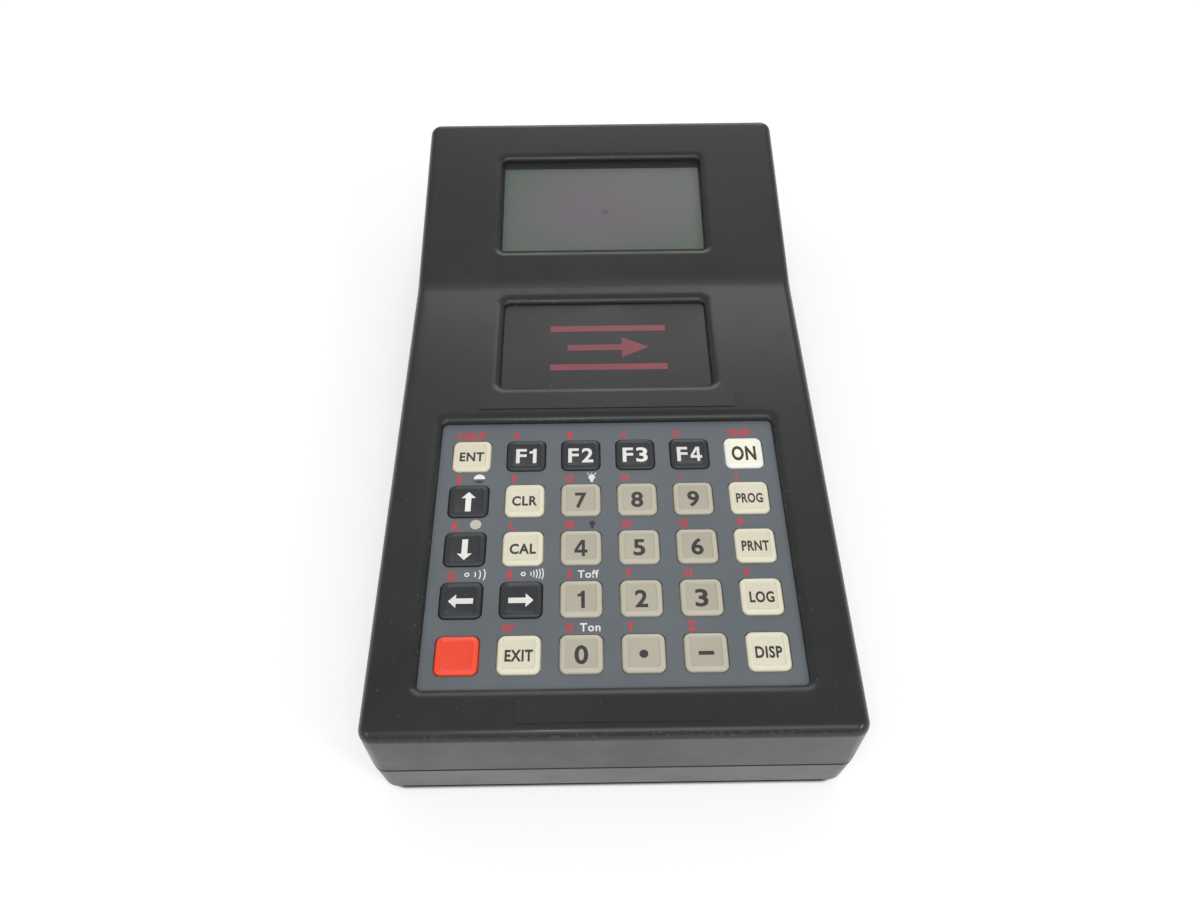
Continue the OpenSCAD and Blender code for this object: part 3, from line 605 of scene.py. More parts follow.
def quarter(steps: int) -> list[Point]:
    """Cosine and sine from 0 to 90 degrees, for the rounding of an edge."""
    return [polar(1.0, 90 * step / steps) for step in range(steps + 1)]


def block(low: Point, high: Point) -> list[Point]:
    """Corners of an upright rectangle, anticlockwise."""
    return [low, (high[0], low[1]), high, (low[0], high[1])]


def arrow_points(length: float, stem: float, head_width: float, head_length: float) -> list[Point]:
    """Corners of a block arrow that points to the right, round its middle.

    Args:
        length: Whole length.
        stem: Half width of the stem.
        head_width: Whole width of the head.
        head_length: Length of the head.

    Returns:
        The corners.
    """
    half, neck, head = length / 2, length / 2 - head_length, head_width / 2
    return [(-half, -stem), (neck, -stem), (neck, -head), (half, 0.0), (neck, head), (neck, stem),
            (-half, stem)]


@dataclass(frozen=True)
class Outline:
    """A rounded rectangle, walked anticlockwise from the left end of its near side.

    Attributes:
        width: Size along the first axis.
        length: Size along the second axis.
        radius: Corner radius.
        centre: The rectangle's middle.
        arcs: Steps in each corner.
        across: Where the near and far sides are cut, as places on the first axis.
        along: Where the left and right sides are cut, as places on the second axis.
    """

    width: float
    length: float
    radius: float
    centre: Point = (0.0, 0.0)
    arcs: int = 8
    across: tuple[float, ...] = ()
    along: tuple[float, ...] = ()

    def points(self, out: float = 0.0) -> list[Point]:
        """Walk the outline after it has grown by a distance.

        Args:
            out: How far the outline lies outside the rectangle, in millimetres.

        Returns:
            The points in order.
        """
        mid_x, mid_y = self.centre
        in_x, in_y = self.width / 2 - self.radius, self.length / 2 - self.radius
        reach = self.radius + out
        made: list[Point] = []
        for turn, (side_x, side_y) in enumerate(((1, -1), (1, 1), (-1, 1), (-1, -1))):
            cuts = sorted(self.along if turn % 2 else self.across, reverse=turn > 1)
            if turn % 2:
                made += [(mid_x + (2 - turn) * (in_x + reach), cut) for cut in cuts]
            else:
                made += [(cut, mid_y + (turn - 1) * (in_y + reach)) for cut in cuts]
            for step in range(self.arcs + 1):
                x, y = polar(reach, 90 * (turn - 1 + step / self.arcs))
                made.append((mid_x + side_x * in_x + x, mid_y + side_y * in_y + y))
        return made


def link(name: str, data: bpy.types.ID) -> Piece:
    """Put a mesh, text, lamp or camera in the scene.

    Args:
        name: The object's name.
        data: What it shows.

    Returns:
        The object.
    """
    made = bpy.data.objects.new(name, data)
    bpy.context.scene.collection.objects.link(made)
    return made


def plain_mesh(source: Piece) -> bpy.types.Mesh:
    """Take an object's mesh as its modifiers leave it, and remove the object.

    Args:
        source: The object.

    Returns:
        The mesh.
    """
    graph = bpy.context.evaluated_depsgraph_get()
    mesh = bpy.data.meshes.new_from_object(source.evaluated_get(graph), depsgraph=graph)
    bpy.data.objects.remove(source)
    return mesh


def bake(source: Piece) -> Piece:
    """Replace an object that has modifiers by one with a plain mesh and the same name.

    Args:
        source: The object, which is removed.

    Returns:
        The plain object.
    """
    name = source.name
    mesh = plain_mesh(source)
    mesh.name = name
    return link(name, mesh)


def settle(name: str, cloth: bmesh.types.BMesh) -> Piece:
    """Turn gathered faces into an object.

    Args:
        name: The object's name.
        cloth: The faces, which are freed.

    Returns:
        The object.
    """
    mesh = bpy.data.meshes.new(name)
    cloth.to_mesh(mesh)
    cloth.free()
    return link(name, mesh)


def shade(piece: Piece, angle: float = 32.0) -> Piece:
    """Smooth the faces, with sharp edges where they meet at more than an angle.

    Args:
        piece: The piece.
        angle: The angle in degrees.

    Returns:
        The same piece.
    """
    piece.data.polygons.foreach_set("use_smooth", [True] * len(piece.data.polygons))
    piece.data.set_sharp_from_angle(angle=math.radians(angle))
    return piece


def even_normals(piece: Piece) -> Piece:
    """Let the large faces lead the shading, so that flats stay flat beside their rounded edges.

    Args:
        piece: The piece, which is removed.

    Returns:
        The shaded piece.
    """
    weighted = shade(piece).modifiers.new("even_normals", "WEIGHTED_NORMAL")
    weighted.keep_sharp = True
    weighted.weight = 60
    return bake(piece)


def thickened(piece: Piece, wall: float, side: float) -> Piece:
    """Give a skin a wall.

    Args:
        piece: The skin, which is removed.
        wall: Thickness of the wall in millimetres.
        side: -1 for a wall behind the skin's faces and 1 for one before them.

    Returns:
        The walled piece.
    """
    thick = piece.modifiers.new("wall", "SOLIDIFY")
    thick.thickness = wall * MM
    thick.offset = side
    return bake(piece)


def join(name: str, pieces: Sequence[Piece]) -> Piece:
    """Gather several objects' meshes in one object.

    Args:
        name: Name of the new object.
        pieces: The objects, which are removed.

    Returns:
        The joined object.
    """
    gathered = bmesh.new()
    for piece in pieces:
        gathered.from_mesh(piece.data)
        bpy.data.objects.remove(piece)
    return settle(name, gathered)


class Sheet:
    """Faces that are gathered by their places and then welded into one mesh."""

    def __init__(self) -> None:
        """Start with no face."""
        self.cloth = bmesh.new()

    def face(self, places: Sequence[Place]) -> None:
        """Add one face."""
        self.cloth.faces.new([self.cloth.verts.new(Vector(place) * MM) for place in places])

    def band(self, first: Sequence[Place], second: Sequence[Place],
             skip: Callable[[int, int], bool] | None = None) -> None:
        """Join two closed rows of as many places.

        Args:
            first: One row.
            second: The other row.
            skip: Says for two neighbouring places of a row whether the face between them is left out.
        """
        for i in range(len(first)):
            j = (i + 1) % len(first)
            if skip is None or not skip(i, j):
                self.face((first[i], first[j], second[j], second[i]))

    def bands(self, rows: Sequence[Sequence[Place]]) -> None:
        """Join each closed row to the next one."""
        for first, second in zip(rows, rows[1:]):
            self.band(first, second)

    def block(self, rows: Sequence[Sequence[Place]]) -> None:
        """Join closed rows and close both ends."""
        self.bands(rows)
        self.face(rows[0])
        self.face(rows[-1])

    def fill(self, outer: Sequence[Point], holes: Sequence[Sequence[Point]], inner: Sequence[Point],
             lift: Callable[[float, float], Place]) -> None:
        """Fill a flat area with triangles and lift it into place.

        Args:
            outer: The area's outline.
            holes: Outlines of the holes in it.
            inner: Further corners that the triangles meet, where they are clear of the outlines.
            lift: Turns a point of the area into a place.
        """
        clear, weld = 1.6, 1e-5
        loops = [list(outer), *(list(hole) for hole in holes)]
        points = [point for loop in loops for point in loop]
        kept = [p for p in inner if inside(p, outer) and not any(inside(p, hole) for hole in holes)
                and min(math.dist(p, q) for q in points) > clear]
        edges: list[tuple[int, int]] = []
        start = 0
        for loop in loops:
            edges += [(start + i, start + (i + 1) % len(loop)) for i in range(len(loop))]
            start += len(loop)
        corners, _, faces, *_ = delaunay_2d_cdt([Vector(p) for p in points + kept], edges, [], 0, weld)
        for face in faces:
            middle = sum((corners[i] for i in face), Vector((0.0, 0.0))) / len(face)
            if inside(middle, outer) and not any(inside(middle, hole) for hole in holes):
                self.face([lift(*corners[i]) for i in face])

    def piece(self, name: str) -> Piece:
        """Weld the faces, turn them outwards and make the object.

        Args:
            name: The object's name.

        Returns:
            The object.
        """
        bmesh.ops.remove_doubles(self.cloth, verts=self.cloth.verts, dist=WELD_MM * MM)
        bmesh.ops.recalc_face_normals(self.cloth, faces=self.cloth.faces)
        highest = max(self.cloth.faces, key=lambda face: face.calc_center_median().z)
        if highest.normal.z < 0:
            bmesh.ops.reverse_faces(self.cloth, faces=self.cloth.faces)
        return settle(name, self.cloth)


def turned(name: str, profile: Sequence[Point], steps: int = 32) -> Piece:
    """Turn a profile round the Z axis.

    Args:
        name: The object's name.
        profile: Pairs of radius and height from the bottom to the top; a radius of 0 closes an end.
        steps: Sides round the axis.

    Returns:
        The turned object.
    """
    sheet = Sheet()
    rings = [[(*point, height) for point in circle((0.0, 0.0), radius, steps)]
             for radius, height in profile if radius]
    if not profile[0][0]:
        sheet.face(rings[0])
    sheet.bands(rings)
    if not profile[-1][0]:
        sheet.face(rings[-1])
    else:
        sheet.band(rings[-1], rings[0])
    return shade(sheet.piece(name))


def put(piece: Piece, finish: Finish, body: str, slot: str, *nodes: str) -> None:
    """Dress a finished piece and fasten it to its body.

    Args:
        piece: The piece.
        finish: Its finish.
        body: The body that it moves with.
        slot: The record's material slot; not used.
        nodes: CAD nodes that the piece stands for.
    """
    piece.data.materials.clear()
    piece.data.materials.append(finish.material())
    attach(piece, body)
    if nodes:
        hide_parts(*nodes)
    LOG.info("%s: %d faces, %s, on %s", piece.name, len(piece.data.polygons), finish.name, body)


def carry(node: str, finish: Finish) -> None:
    """Keep a CAD node and give it a finish.

    Args:
        node: The CAD node.
        finish: Its finish.
    """
    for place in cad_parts[node].material_slots:
        place.link = "OBJECT"
        place.material = finish.material()
    LOG.info("%s: kept from the frame, %s", node, finish.name)


def soften(node: str, name: str, bevel: float, finish: Finish, slot: str = "") -> None:
    """Put a copy of a CAD node with merged triangles and rounded edges in its place on the case.

    Args:
        node: The CAD node.
        name: Name of the copy.
        bevel: Rounding in millimetres.
        finish: Its finish.
        slot: The record's material slot, where it isn't named like the node.
    """
    shape = bmesh.new()
    shape.from_mesh(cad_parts[node].data)
    bmesh.ops.remove_doubles(shape, verts=shape.verts, dist=WELD_MM * MM)
    bmesh.ops.dissolve_limit(shape, angle_limit=math.radians(1.0), verts=shape.verts, edges=shape.edges)
    made = settle(name, shape)
    rounding = made.modifiers.new("rounding", "BEVEL")
    rounding.width = bevel * MM
    rounding.segments = 2
    rounding.limit_method = "ANGLE"
    rounding.angle_limit = math.radians(30.0)
    rounding.miter_outer = "MITER_ARC"
    put(even_normals(bake(made)), finish, "case", slot or node, node)


# Repeated pieces


@dataclass(frozen=True)
class Spot:
    """One copy of a repeated piece.

    Attributes:
        place: Where it goes, in millimetres.
        turn: Its turn about X, Y and Z, in degrees.
        stretch: Its scale along its own axes.
    """

    place: Place
    turn: Place = (0.0, 0.0, 0.0)
    stretch: Place = (1.0, 1.0, 1.0)


@dataclass(frozen=True)
class CrossSlot:
    """The driver's cross recess that is cut in a screw's head.

    Attributes:
        width: Width of each arm in millimetres.
        reach: Whole length of each arm in millimetres.
        depth: Depth in millimetres.
        top: Height of the head's face above the screw's seat in millimetres.
    """

    width: float
    reach: float
    depth: float
    top: float

    def values(self) -> dict[str, float]:
        """The recess's sizes in metres, by the names of the tree's inputs."""
        return {"Arm Width": self.width * MM, "Arm Reach": self.reach * MM, "Arm Depth": self.depth * MM,
                "Head Top": self.top * MM}


class Repeater:
    """Geometry Nodes trees that put one master shape on many spots."""

    @cached_property
    def plain(self) -> Tree:
        """The tree that copies the master as it is."""
        return self.tree("plain_copies", False)

    @cached_property
    def crossed(self) -> Tree:
        """The tree that cuts a cross recess in the master first."""
        return self.tree("cross_head_copies", True)

    def tree(self, name: str, cross: bool) -> Tree:
        """Make a tree.

        Args:
            name: The tree's name.
            cross: Whether a cross recess is cut in the master shape before it is copied.

        Returns:
            The tree.
        """
        made = bpy.data.node_groups.new(name, "GeometryNodeTree")
        sockets = {"Spots": "NodeSocketGeometry", "Master": "NodeSocketObject",
                   "Finish": "NodeSocketMaterial"}
        if cross:
            sockets |= dict.fromkeys(("Arm Width", "Arm Reach", "Arm Depth", "Head Top"), "NodeSocketFloat")
        for label, kind in sockets.items():
            made.interface.new_socket(label, in_out="INPUT", socket_type=kind)
        made.interface.new_socket("Copies", in_out="OUTPUT", socket_type="NodeSocketGeometry")
        graph = Graph(made)
        given = graph.node("NodeGroupInput").outputs
        shape = graph.node("GeometryNodeObjectInfo", {"Object": given["Master"]}).outputs["Geometry"]
        if cross:
            shape = self.cut_cross(graph, shape, given)
        held = [graph.node("GeometryNodeInputNamedAttribute", {"Name": label}, data_type="FLOAT_VECTOR")
                for label in ("turn", "stretch")]
        turn, stretch = (node.outputs["Attribute"] for node in held)
        turn = graph.node("FunctionNodeEulerToRotation", {0: turn}).outputs[0]
        copies = graph.node("GeometryNodeInstanceOnPoints", {
            "Points": given["Spots"], "Instance": shape, "Rotation": turn, "Scale": stretch})
        real = graph.node("GeometryNodeRealizeInstances", {0: copies.outputs[0]})
        dressed = graph.node("GeometryNodeSetMaterial", {
            "Geometry": real.outputs[0], "Material": given["Finish"]})
        graph.node("NodeGroupOutput", {0: dressed.outputs[0]})
        return made

    @staticmethod
    def cut_cross(graph: Graph, shape: Socket, given: bpy.types.NodeOutputs) -> Socket:
        """Cut two crossing arms in the top of a head.

        Args:
            graph: The tree's graph.
            shape: The head's geometry.
            given: The tree's inputs.

        Returns:
            The cut geometry.
        """
        cut = graph.node("GeometryNodeMeshBoolean", {"Mesh 1": shape}, operation="DIFFERENCE")
        for sides in (("Arm Width", "Arm Reach"), ("Arm Reach", "Arm Width")):
            deep = graph.product(given["Arm Depth"], 2.0)
            size = graph.node("ShaderNodeCombineXYZ", {0: given[sides[0]], 1: given[sides[1]], 2: deep})
            arm = graph.node("GeometryNodeMeshCube", {"Size": size.outputs[0]})
            place = graph.node("ShaderNodeCombineXYZ", {2: given["Head Top"]})
            raised = graph.node("GeometryNodeTransform", {
                "Geometry": arm.outputs["Mesh"], "Translation": place.outputs[0]})
            graph.feed(cut.inputs["Mesh 2"], raised.outputs[0])
        return cut.outputs["Mesh"]

    def run(self, name: str, master: Piece, spots: Sequence[Spot], finish: Finish,
            cross: CrossSlot | None = None, keep: bool = False) -> Piece:
        """Copy a master shape to its spots.

        Args:
            name: Name of the new piece.
            master: The shape, around its own origin.
            spots: Where the copies go.
            finish: Their finish.
            cross: The cross recess to cut in each, if any.
            keep: Whether the master stays for another call.

        Returns:
            One plain piece that holds all the copies.
        """
        mesh = bpy.data.meshes.new(name)
        mesh.from_pydata([Vector(spot.place) * MM for spot in spots], [], [])
        for label, values in (("turn", [[math.radians(a) for a in spot.turn] for spot in spots]),
                              ("stretch", [spot.stretch for spot in spots])):
            held = mesh.attributes.new(label, "FLOAT_VECTOR", "POINT")
            held.data.foreach_set("vector", [number for value in values for number in value])
        made = link(name, mesh)
        copier = made.modifiers.new("copies", "NODES")
        copier.node_group = self.crossed if cross else self.plain
        values: dict[str, object] = {"Master": master, "Finish": finish.material()}
        if cross:
            values |= cross.values()
        for item in copier.node_group.interface.items_tree:
            if item.in_out == "INPUT" and item.name in values:
                copier[item.identifier] = values[item.name]
        made = shade(bake(made))
        if not keep:
            bpy.data.objects.remove(master)
        return made


REPEATER = Repeater()


@dataclass(frozen=True)
class Screw:
    """A pan-head screw whose seat is at its origin and whose head points up.

    Attributes:
        head: Radius of the head.
        tall: Height of the head.
        shank: Radius of the shank.
        deep: Length of the shank below the head.
        pitch: Half the pitch of the thread.
    """

    head: float
    tall: float
    shank: float
    deep: float
    pitch: float = 0.4

    def copies(self, name: str, spots: Sequence[Spot], finish: Finish) -> Piece:
        """Make the screws at their spots.

        Args:
            name: Name of the piece.
            spots: Seats of the screws.
            finish: Their finish.

        Returns:
            One piece with all the screws.
        """
        head, tall, shank, deep = self.head, self.tall, self.shank, self.deep
        turns = max(int((deep - shank - 0.6) / self.pitch), 1)
        threads = [(shank * (0.84 if step % 2 else 1.0), -deep + shank + step * self.pitch)
                   for step in range(turns)]
        profile = [(0.0, -deep), (shank * 0.35, -deep), *threads, (shank, 0.0), (head, 0.0),
                   (head, tall * 0.45), (head * 0.93, tall * 0.78), (head * 0.74, tall), (0.0, tall)]
        slot = CrossSlot(head * 0.26, head * 1.15, tall * 0.55, tall)
        return REPEATER.run(name, turned(name + "_master", profile, 24), spots, finish, slot)


SMALL_SCREW = Screw(2.2, 1.2, 1.2, 4.8)
SHELL_SCREW = Screw(2.8, 2.2, 1.7, 21.2)


# Print


GLYPHS: dict[str, tuple[float, list[list[Point]]]] = {
    "1": (0.42, [[(1.0, 0.0), (1.0, 1.0), (0.62, 1.0), (0.4, 0.86), (0.0, 0.8), (0.0, 0.67), (0.5, 0.69),
                  (0.5, 0.0)]]),
    "4": (0.7, [block((0.56, 0.0), (0.8, 1.0)), block((0.0, 0.22), (0.56, 0.4)),
                block((0.8, 0.22), (1.0, 0.4)),
                [(0.0, 0.4), (0.24, 0.4), (0.56, 0.76), (0.56, 1.0), (0.5, 1.0)]]),
    "M": (0.95, [[(0.0, 0.0), (0.22, 0.0), (0.22, 0.64), (0.4, 0.0), (0.6, 0.0), (0.78, 0.64), (0.78, 0.0),
                  (1.0, 0.0), (1.0, 1.0), (0.7, 1.0), (0.5, 0.36), (0.3, 1.0), (0.0, 1.0)]]),
}


class Print:
    """Flat ink shapes that lie on one face: words, bars, discs and arcs."""

    thickness: float = 0.025
    spacing: float = 1.1

    def __init__(self, height: float) -> None:
        """Start a print.

        Args:
            height: Height of the face that it lies on, in millimetres.
        """
        self.sheet = Sheet()
        self.height = height

    def polygon(self, corners: Sequence[Point], centre: Point = (0.0, 0.0)) -> None:
        """Add a flat shape with its corners given round a centre."""
        self.sheet.face([(centre[0] + x, centre[1] + y, self.height) for x, y in corners])

    def disc(self, centre: Point, radius: float, start: float = 0.0, end: float = 360.0) -> None:
        """Add a disc, or the part of it between two angles.

        Args:
            centre: Its middle.
            radius: Its radius.
            start: First angle in degrees.
            end: Last angle in degrees.
        """
        steps = 20
        turns = [start + (end - start) * i / steps for i in range(steps + (end - start < 360))]
        self.polygon([polar(radius, turn) for turn in turns], centre)

    def arc(self, centre: Point, radius: float, line: float, start: float, end: float) -> None:
        """Add a curved line, or a ring where it goes all the way round.

        Args:
            centre: Its middle.
            radius: Radius at the middle of the line.
            line: Width of the line.
            start: First angle in degrees.
            end: Last angle in degrees.
        """
        steps = 16
        inner, outer = radius - line / 2, radius + line / 2
        turns = [start + (end - start) * i / steps for i in range(steps + 1)]
        for first, last in zip(turns, turns[1:]):
            corners = ((inner, first), (outer, first), (outer, last), (inner, last))
            self.polygon([polar(reach, angle) for reach, angle in corners], centre)

    def word(self, text: str, centre: Point, tall: float, fat: float = 0.0, wide: float = 0.0,
             narrow: float = 1.0) -> None:
        """Add a word.

        Args:
            text: The word.
            centre: Its middle.
            tall: Height of its capitals in millimetres.
            fat: How far its strokes grow, as a share of the letters' size.
            wide: Its whole width in millimetres, or 0 for the font's own.
            narrow: Share of the font's own width, where no width is given.
        """
        if text in GLYPHS:
            share, drawn = GLYPHS[text]
            across = wide or tall * share * narrow
            for shape in drawn:
                self.polygon([((x - 0.5) * across, (y - 0.5) * tall) for x, y in shape], centre)
            return
        capital, word = (self.letters(body, fat) for body in ("H", text))
        heights = [vertex.co.y for vertex in capital.vertices]
        widths = [vertex.co.x for vertex in word.vertices]
        base, left, right = min(heights), min(widths), max(widths)
        scale = tall / (max(heights) - base)
        across = wide / (right - left) if wide else scale * narrow
        for polygon in word.polygons:
            corners = [word.vertices[i].co for i in polygon.vertices]
            self.sheet.face([(centre[0] + (corner.x - (left + right) / 2) * across,
                              centre[1] - tall / 2 + (corner.y - base) * scale, self.height)
                             for corner in corners])
        for mesh in (capital, word):
            bpy.data.meshes.remove(mesh)

    @classmethod
    def letters(cls, text: str, fat: float) -> bpy.types.Mesh:
        """Turn a text into a flat mesh at its own size.

        Args:
            text: The text.
            fat: How far its strokes grow.

        Returns:
            The mesh.
        """
        curve = bpy.data.curves.new("letters", "FONT")
        curve.body = text
        curve.offset = fat
        curve.space_character = cls.spacing
        curve.resolution_u = 4
        mesh = plain_mesh(link("letters", curve))
        bpy.data.curves.remove(curve)
        return mesh

    def piece(self, name: str) -> Piece:
        """Weld the shapes, turn them up and give the ink its thickness.

        Args:
            name: The piece's name.

        Returns:
            The piece.
        """
        cloth = self.sheet.cloth
        bmesh.ops.remove_doubles(cloth, verts=cloth.verts, dist=WELD_MM / 2 * MM)
        cloth.normal_update()
        bmesh.ops.reverse_faces(cloth, faces=[face for face in cloth.faces if face.normal.z < 0])
        return thickened(settle(name, cloth), self.thickness, 1.0)


# The case


@dataclass(frozen=True)
class Deck:
    """The case's upper surface, laid out flat: V runs along it from the crease, and lift rises from it.

    Attributes:
        crease: Place of the crease on Y.
        height: Height of the level part.
        slope: Slope of the display part in degrees.
        bend: Half length of the soft bend at the crease.
    """

    crease: float = 43.0
    height: float = 37.8
    slope: float = 9.5
    bend: float = 3.3

    def place(self, x: float, v: float, lift: float = 0.0) -> Place:
        """Turn a point of the flat layout into a place.

        Args:
            x: Its place across.
            v: Its place along the surface.
            lift: Its height above the surface.

        Returns:
            The place.
        """
        turn = math.radians(self.slope)
        if v <= -self.bend:
            return x, self.crease + v, self.height + lift
        if v >= self.bend:
            return (x, self.crease + v * math.cos(turn) - lift * math.sin(turn),
                    self.height + v * math.sin(turn) + lift * math.cos(turn))
        radius = self.bend / math.tan(turn / 2)
        angle = turn * (v + self.bend) / (2 * self.bend)
        return (x, self.crease - self.bend + (radius - lift) * math.sin(angle),
                self.height + radius - (radius - lift) * math.cos(angle))


@dataclass(frozen=True)
class Fixings:
    """Where the bosses and the screws in them stand; the boards' screws stand at the corners of a rectangle.

    Attributes:
        shell_x: Distance of the shells' screws from the middle.
        shell_rows: Their rows on Y.
        lcd_half: Half size of the display board's rectangle.
        lcd_middle: Its middle along V.
        pad_half: Half size of the keypad board's rectangle.
        pad_middle: Its middle on Y.
    """

    shell_x: float = 55.5
    shell_rows: tuple[float, ...] = (-111.6, -6.5, 111.6)
    lcd_half: Point = (45.6, 24.0)
    lcd_middle: float = 37.0
    pad_half: Point = (57.0, 36.0)
    pad_middle: float = -61.95

    def lcd(self, side: int, end: int) -> Point:
        """One corner of the display board's rectangle, on the flat layout."""
        return side * self.lcd_half[0], self.lcd_middle + end * self.lcd_half[1]

    def pad(self, side: int, end: int) -> Point:
        """One corner of the keypad board's rectangle, from above."""
        return side * self.pad_half[0], self.pad_middle + end * self.pad_half[1]


DECK = Deck()
FIXINGS = Fixings()
CORNERS = ((-1, -1), (-1, 1), (1, -1), (1, 1))
ROLLED_OVER: Place = (180.0, 0.0, 0.0)


@dataclass(frozen=True)
class Recess:
    """A sunk area of the deck with softly rounded edges.

    Attributes:
        width: Width at its floor.
        length: Length at its floor.
        middle: Its middle along V.
        depth: Its depth.
        closed: Whether it has a floor of its own.
        radius: Corner radius at its floor.
        mouth: How far its rounding reaches outwards.
        drop: How far its rounding reaches down.
    """

    width: float
    length: float
    middle: float
    depth: float
    closed: bool = False
    radius: float = 1.6
    mouth: float = 3.2
    drop: float = 1.6

    def build(self, sheet: Sheet) -> list[Point]:
        """Add its walls and floor to the case's skin.

        Args:
            sheet: The skin.

        Returns:
            The outline of its mouth, on the flat layout.
        """
        across = tuple(self.width / 2 * share for share in (-0.8, -0.4, 0.0, 0.4, 0.8))
        along = tuple(self.middle + self.length / 2 * share for share in (-0.75, -0.25, 0.25, 0.75))
        outline = Outline(self.width, self.length, self.radius, (0.0, self.middle),
                          across=across, along=along)
        rows = [(0.0, -self.depth)]
        rows += [(self.mouth * (1 - cos), self.drop * (sin - 1)) for cos, sin in quarter(7)]
        sheet.bands([[DECK.place(x, v, lift) for x, v in outline.points(out)] for out, lift in rows])
        if self.closed:
            sheet.fill(outline.points(), (), (), lambda x, v: DECK.place(x, v, -self.depth))
        return outline.points(self.mouth)


@dataclass(frozen=True)
class SocketBay:
    """The shallow bay in the far wall, with the holes for the sockets' barrels.

    Attributes:
        width: Its width.
        height: Its height.
        radius: Its corner radius.
        middle: Height of its middle.
        floor: Place of its floor on Y.
        mouth: Rounding of its mouth.
        holes: Place across and radius of each hole.
    """

    width: float = 100.0
    height: float = 20.0
    radius: float = 3.0
    middle: float = 30.1
    floor: float = 118.2
    mouth: float = 0.5
    holes: tuple[Point, ...] = ((-38.002, 4.7), (-18.002, 4.7), (6.006, 6.3), (32.006, 4.9))

    def build(self, sheet: Sheet, wall_at: Callable[[float], float]) -> list[Point]:
        """Add its walls and floor to the case's skin.

        Args:
            sheet: The skin.
            wall_at: Gives the far wall's place on Y at a height.

        Returns:
            The outline of its mouth, across and up.
        """
        outline = Outline(self.width, self.height, self.radius, (0.0, self.middle), arcs=6)
        rings = [[(x, wall_at(z) - self.mouth * (1 - cos), z)
                  for x, z in outline.points(self.mouth * (1 - sin))] for cos, sin in quarter(4)]
        sheet.bands([*rings, [(x, self.floor, z) for x, z in outline.points()]])
        rounds = [circle((x, self.middle), radius, 28) for x, radius in self.holes]
        sheet.fill(outline.points(), rounds, (), lambda x, z: (x, self.floor, z))
        return outline.points(self.mouth)


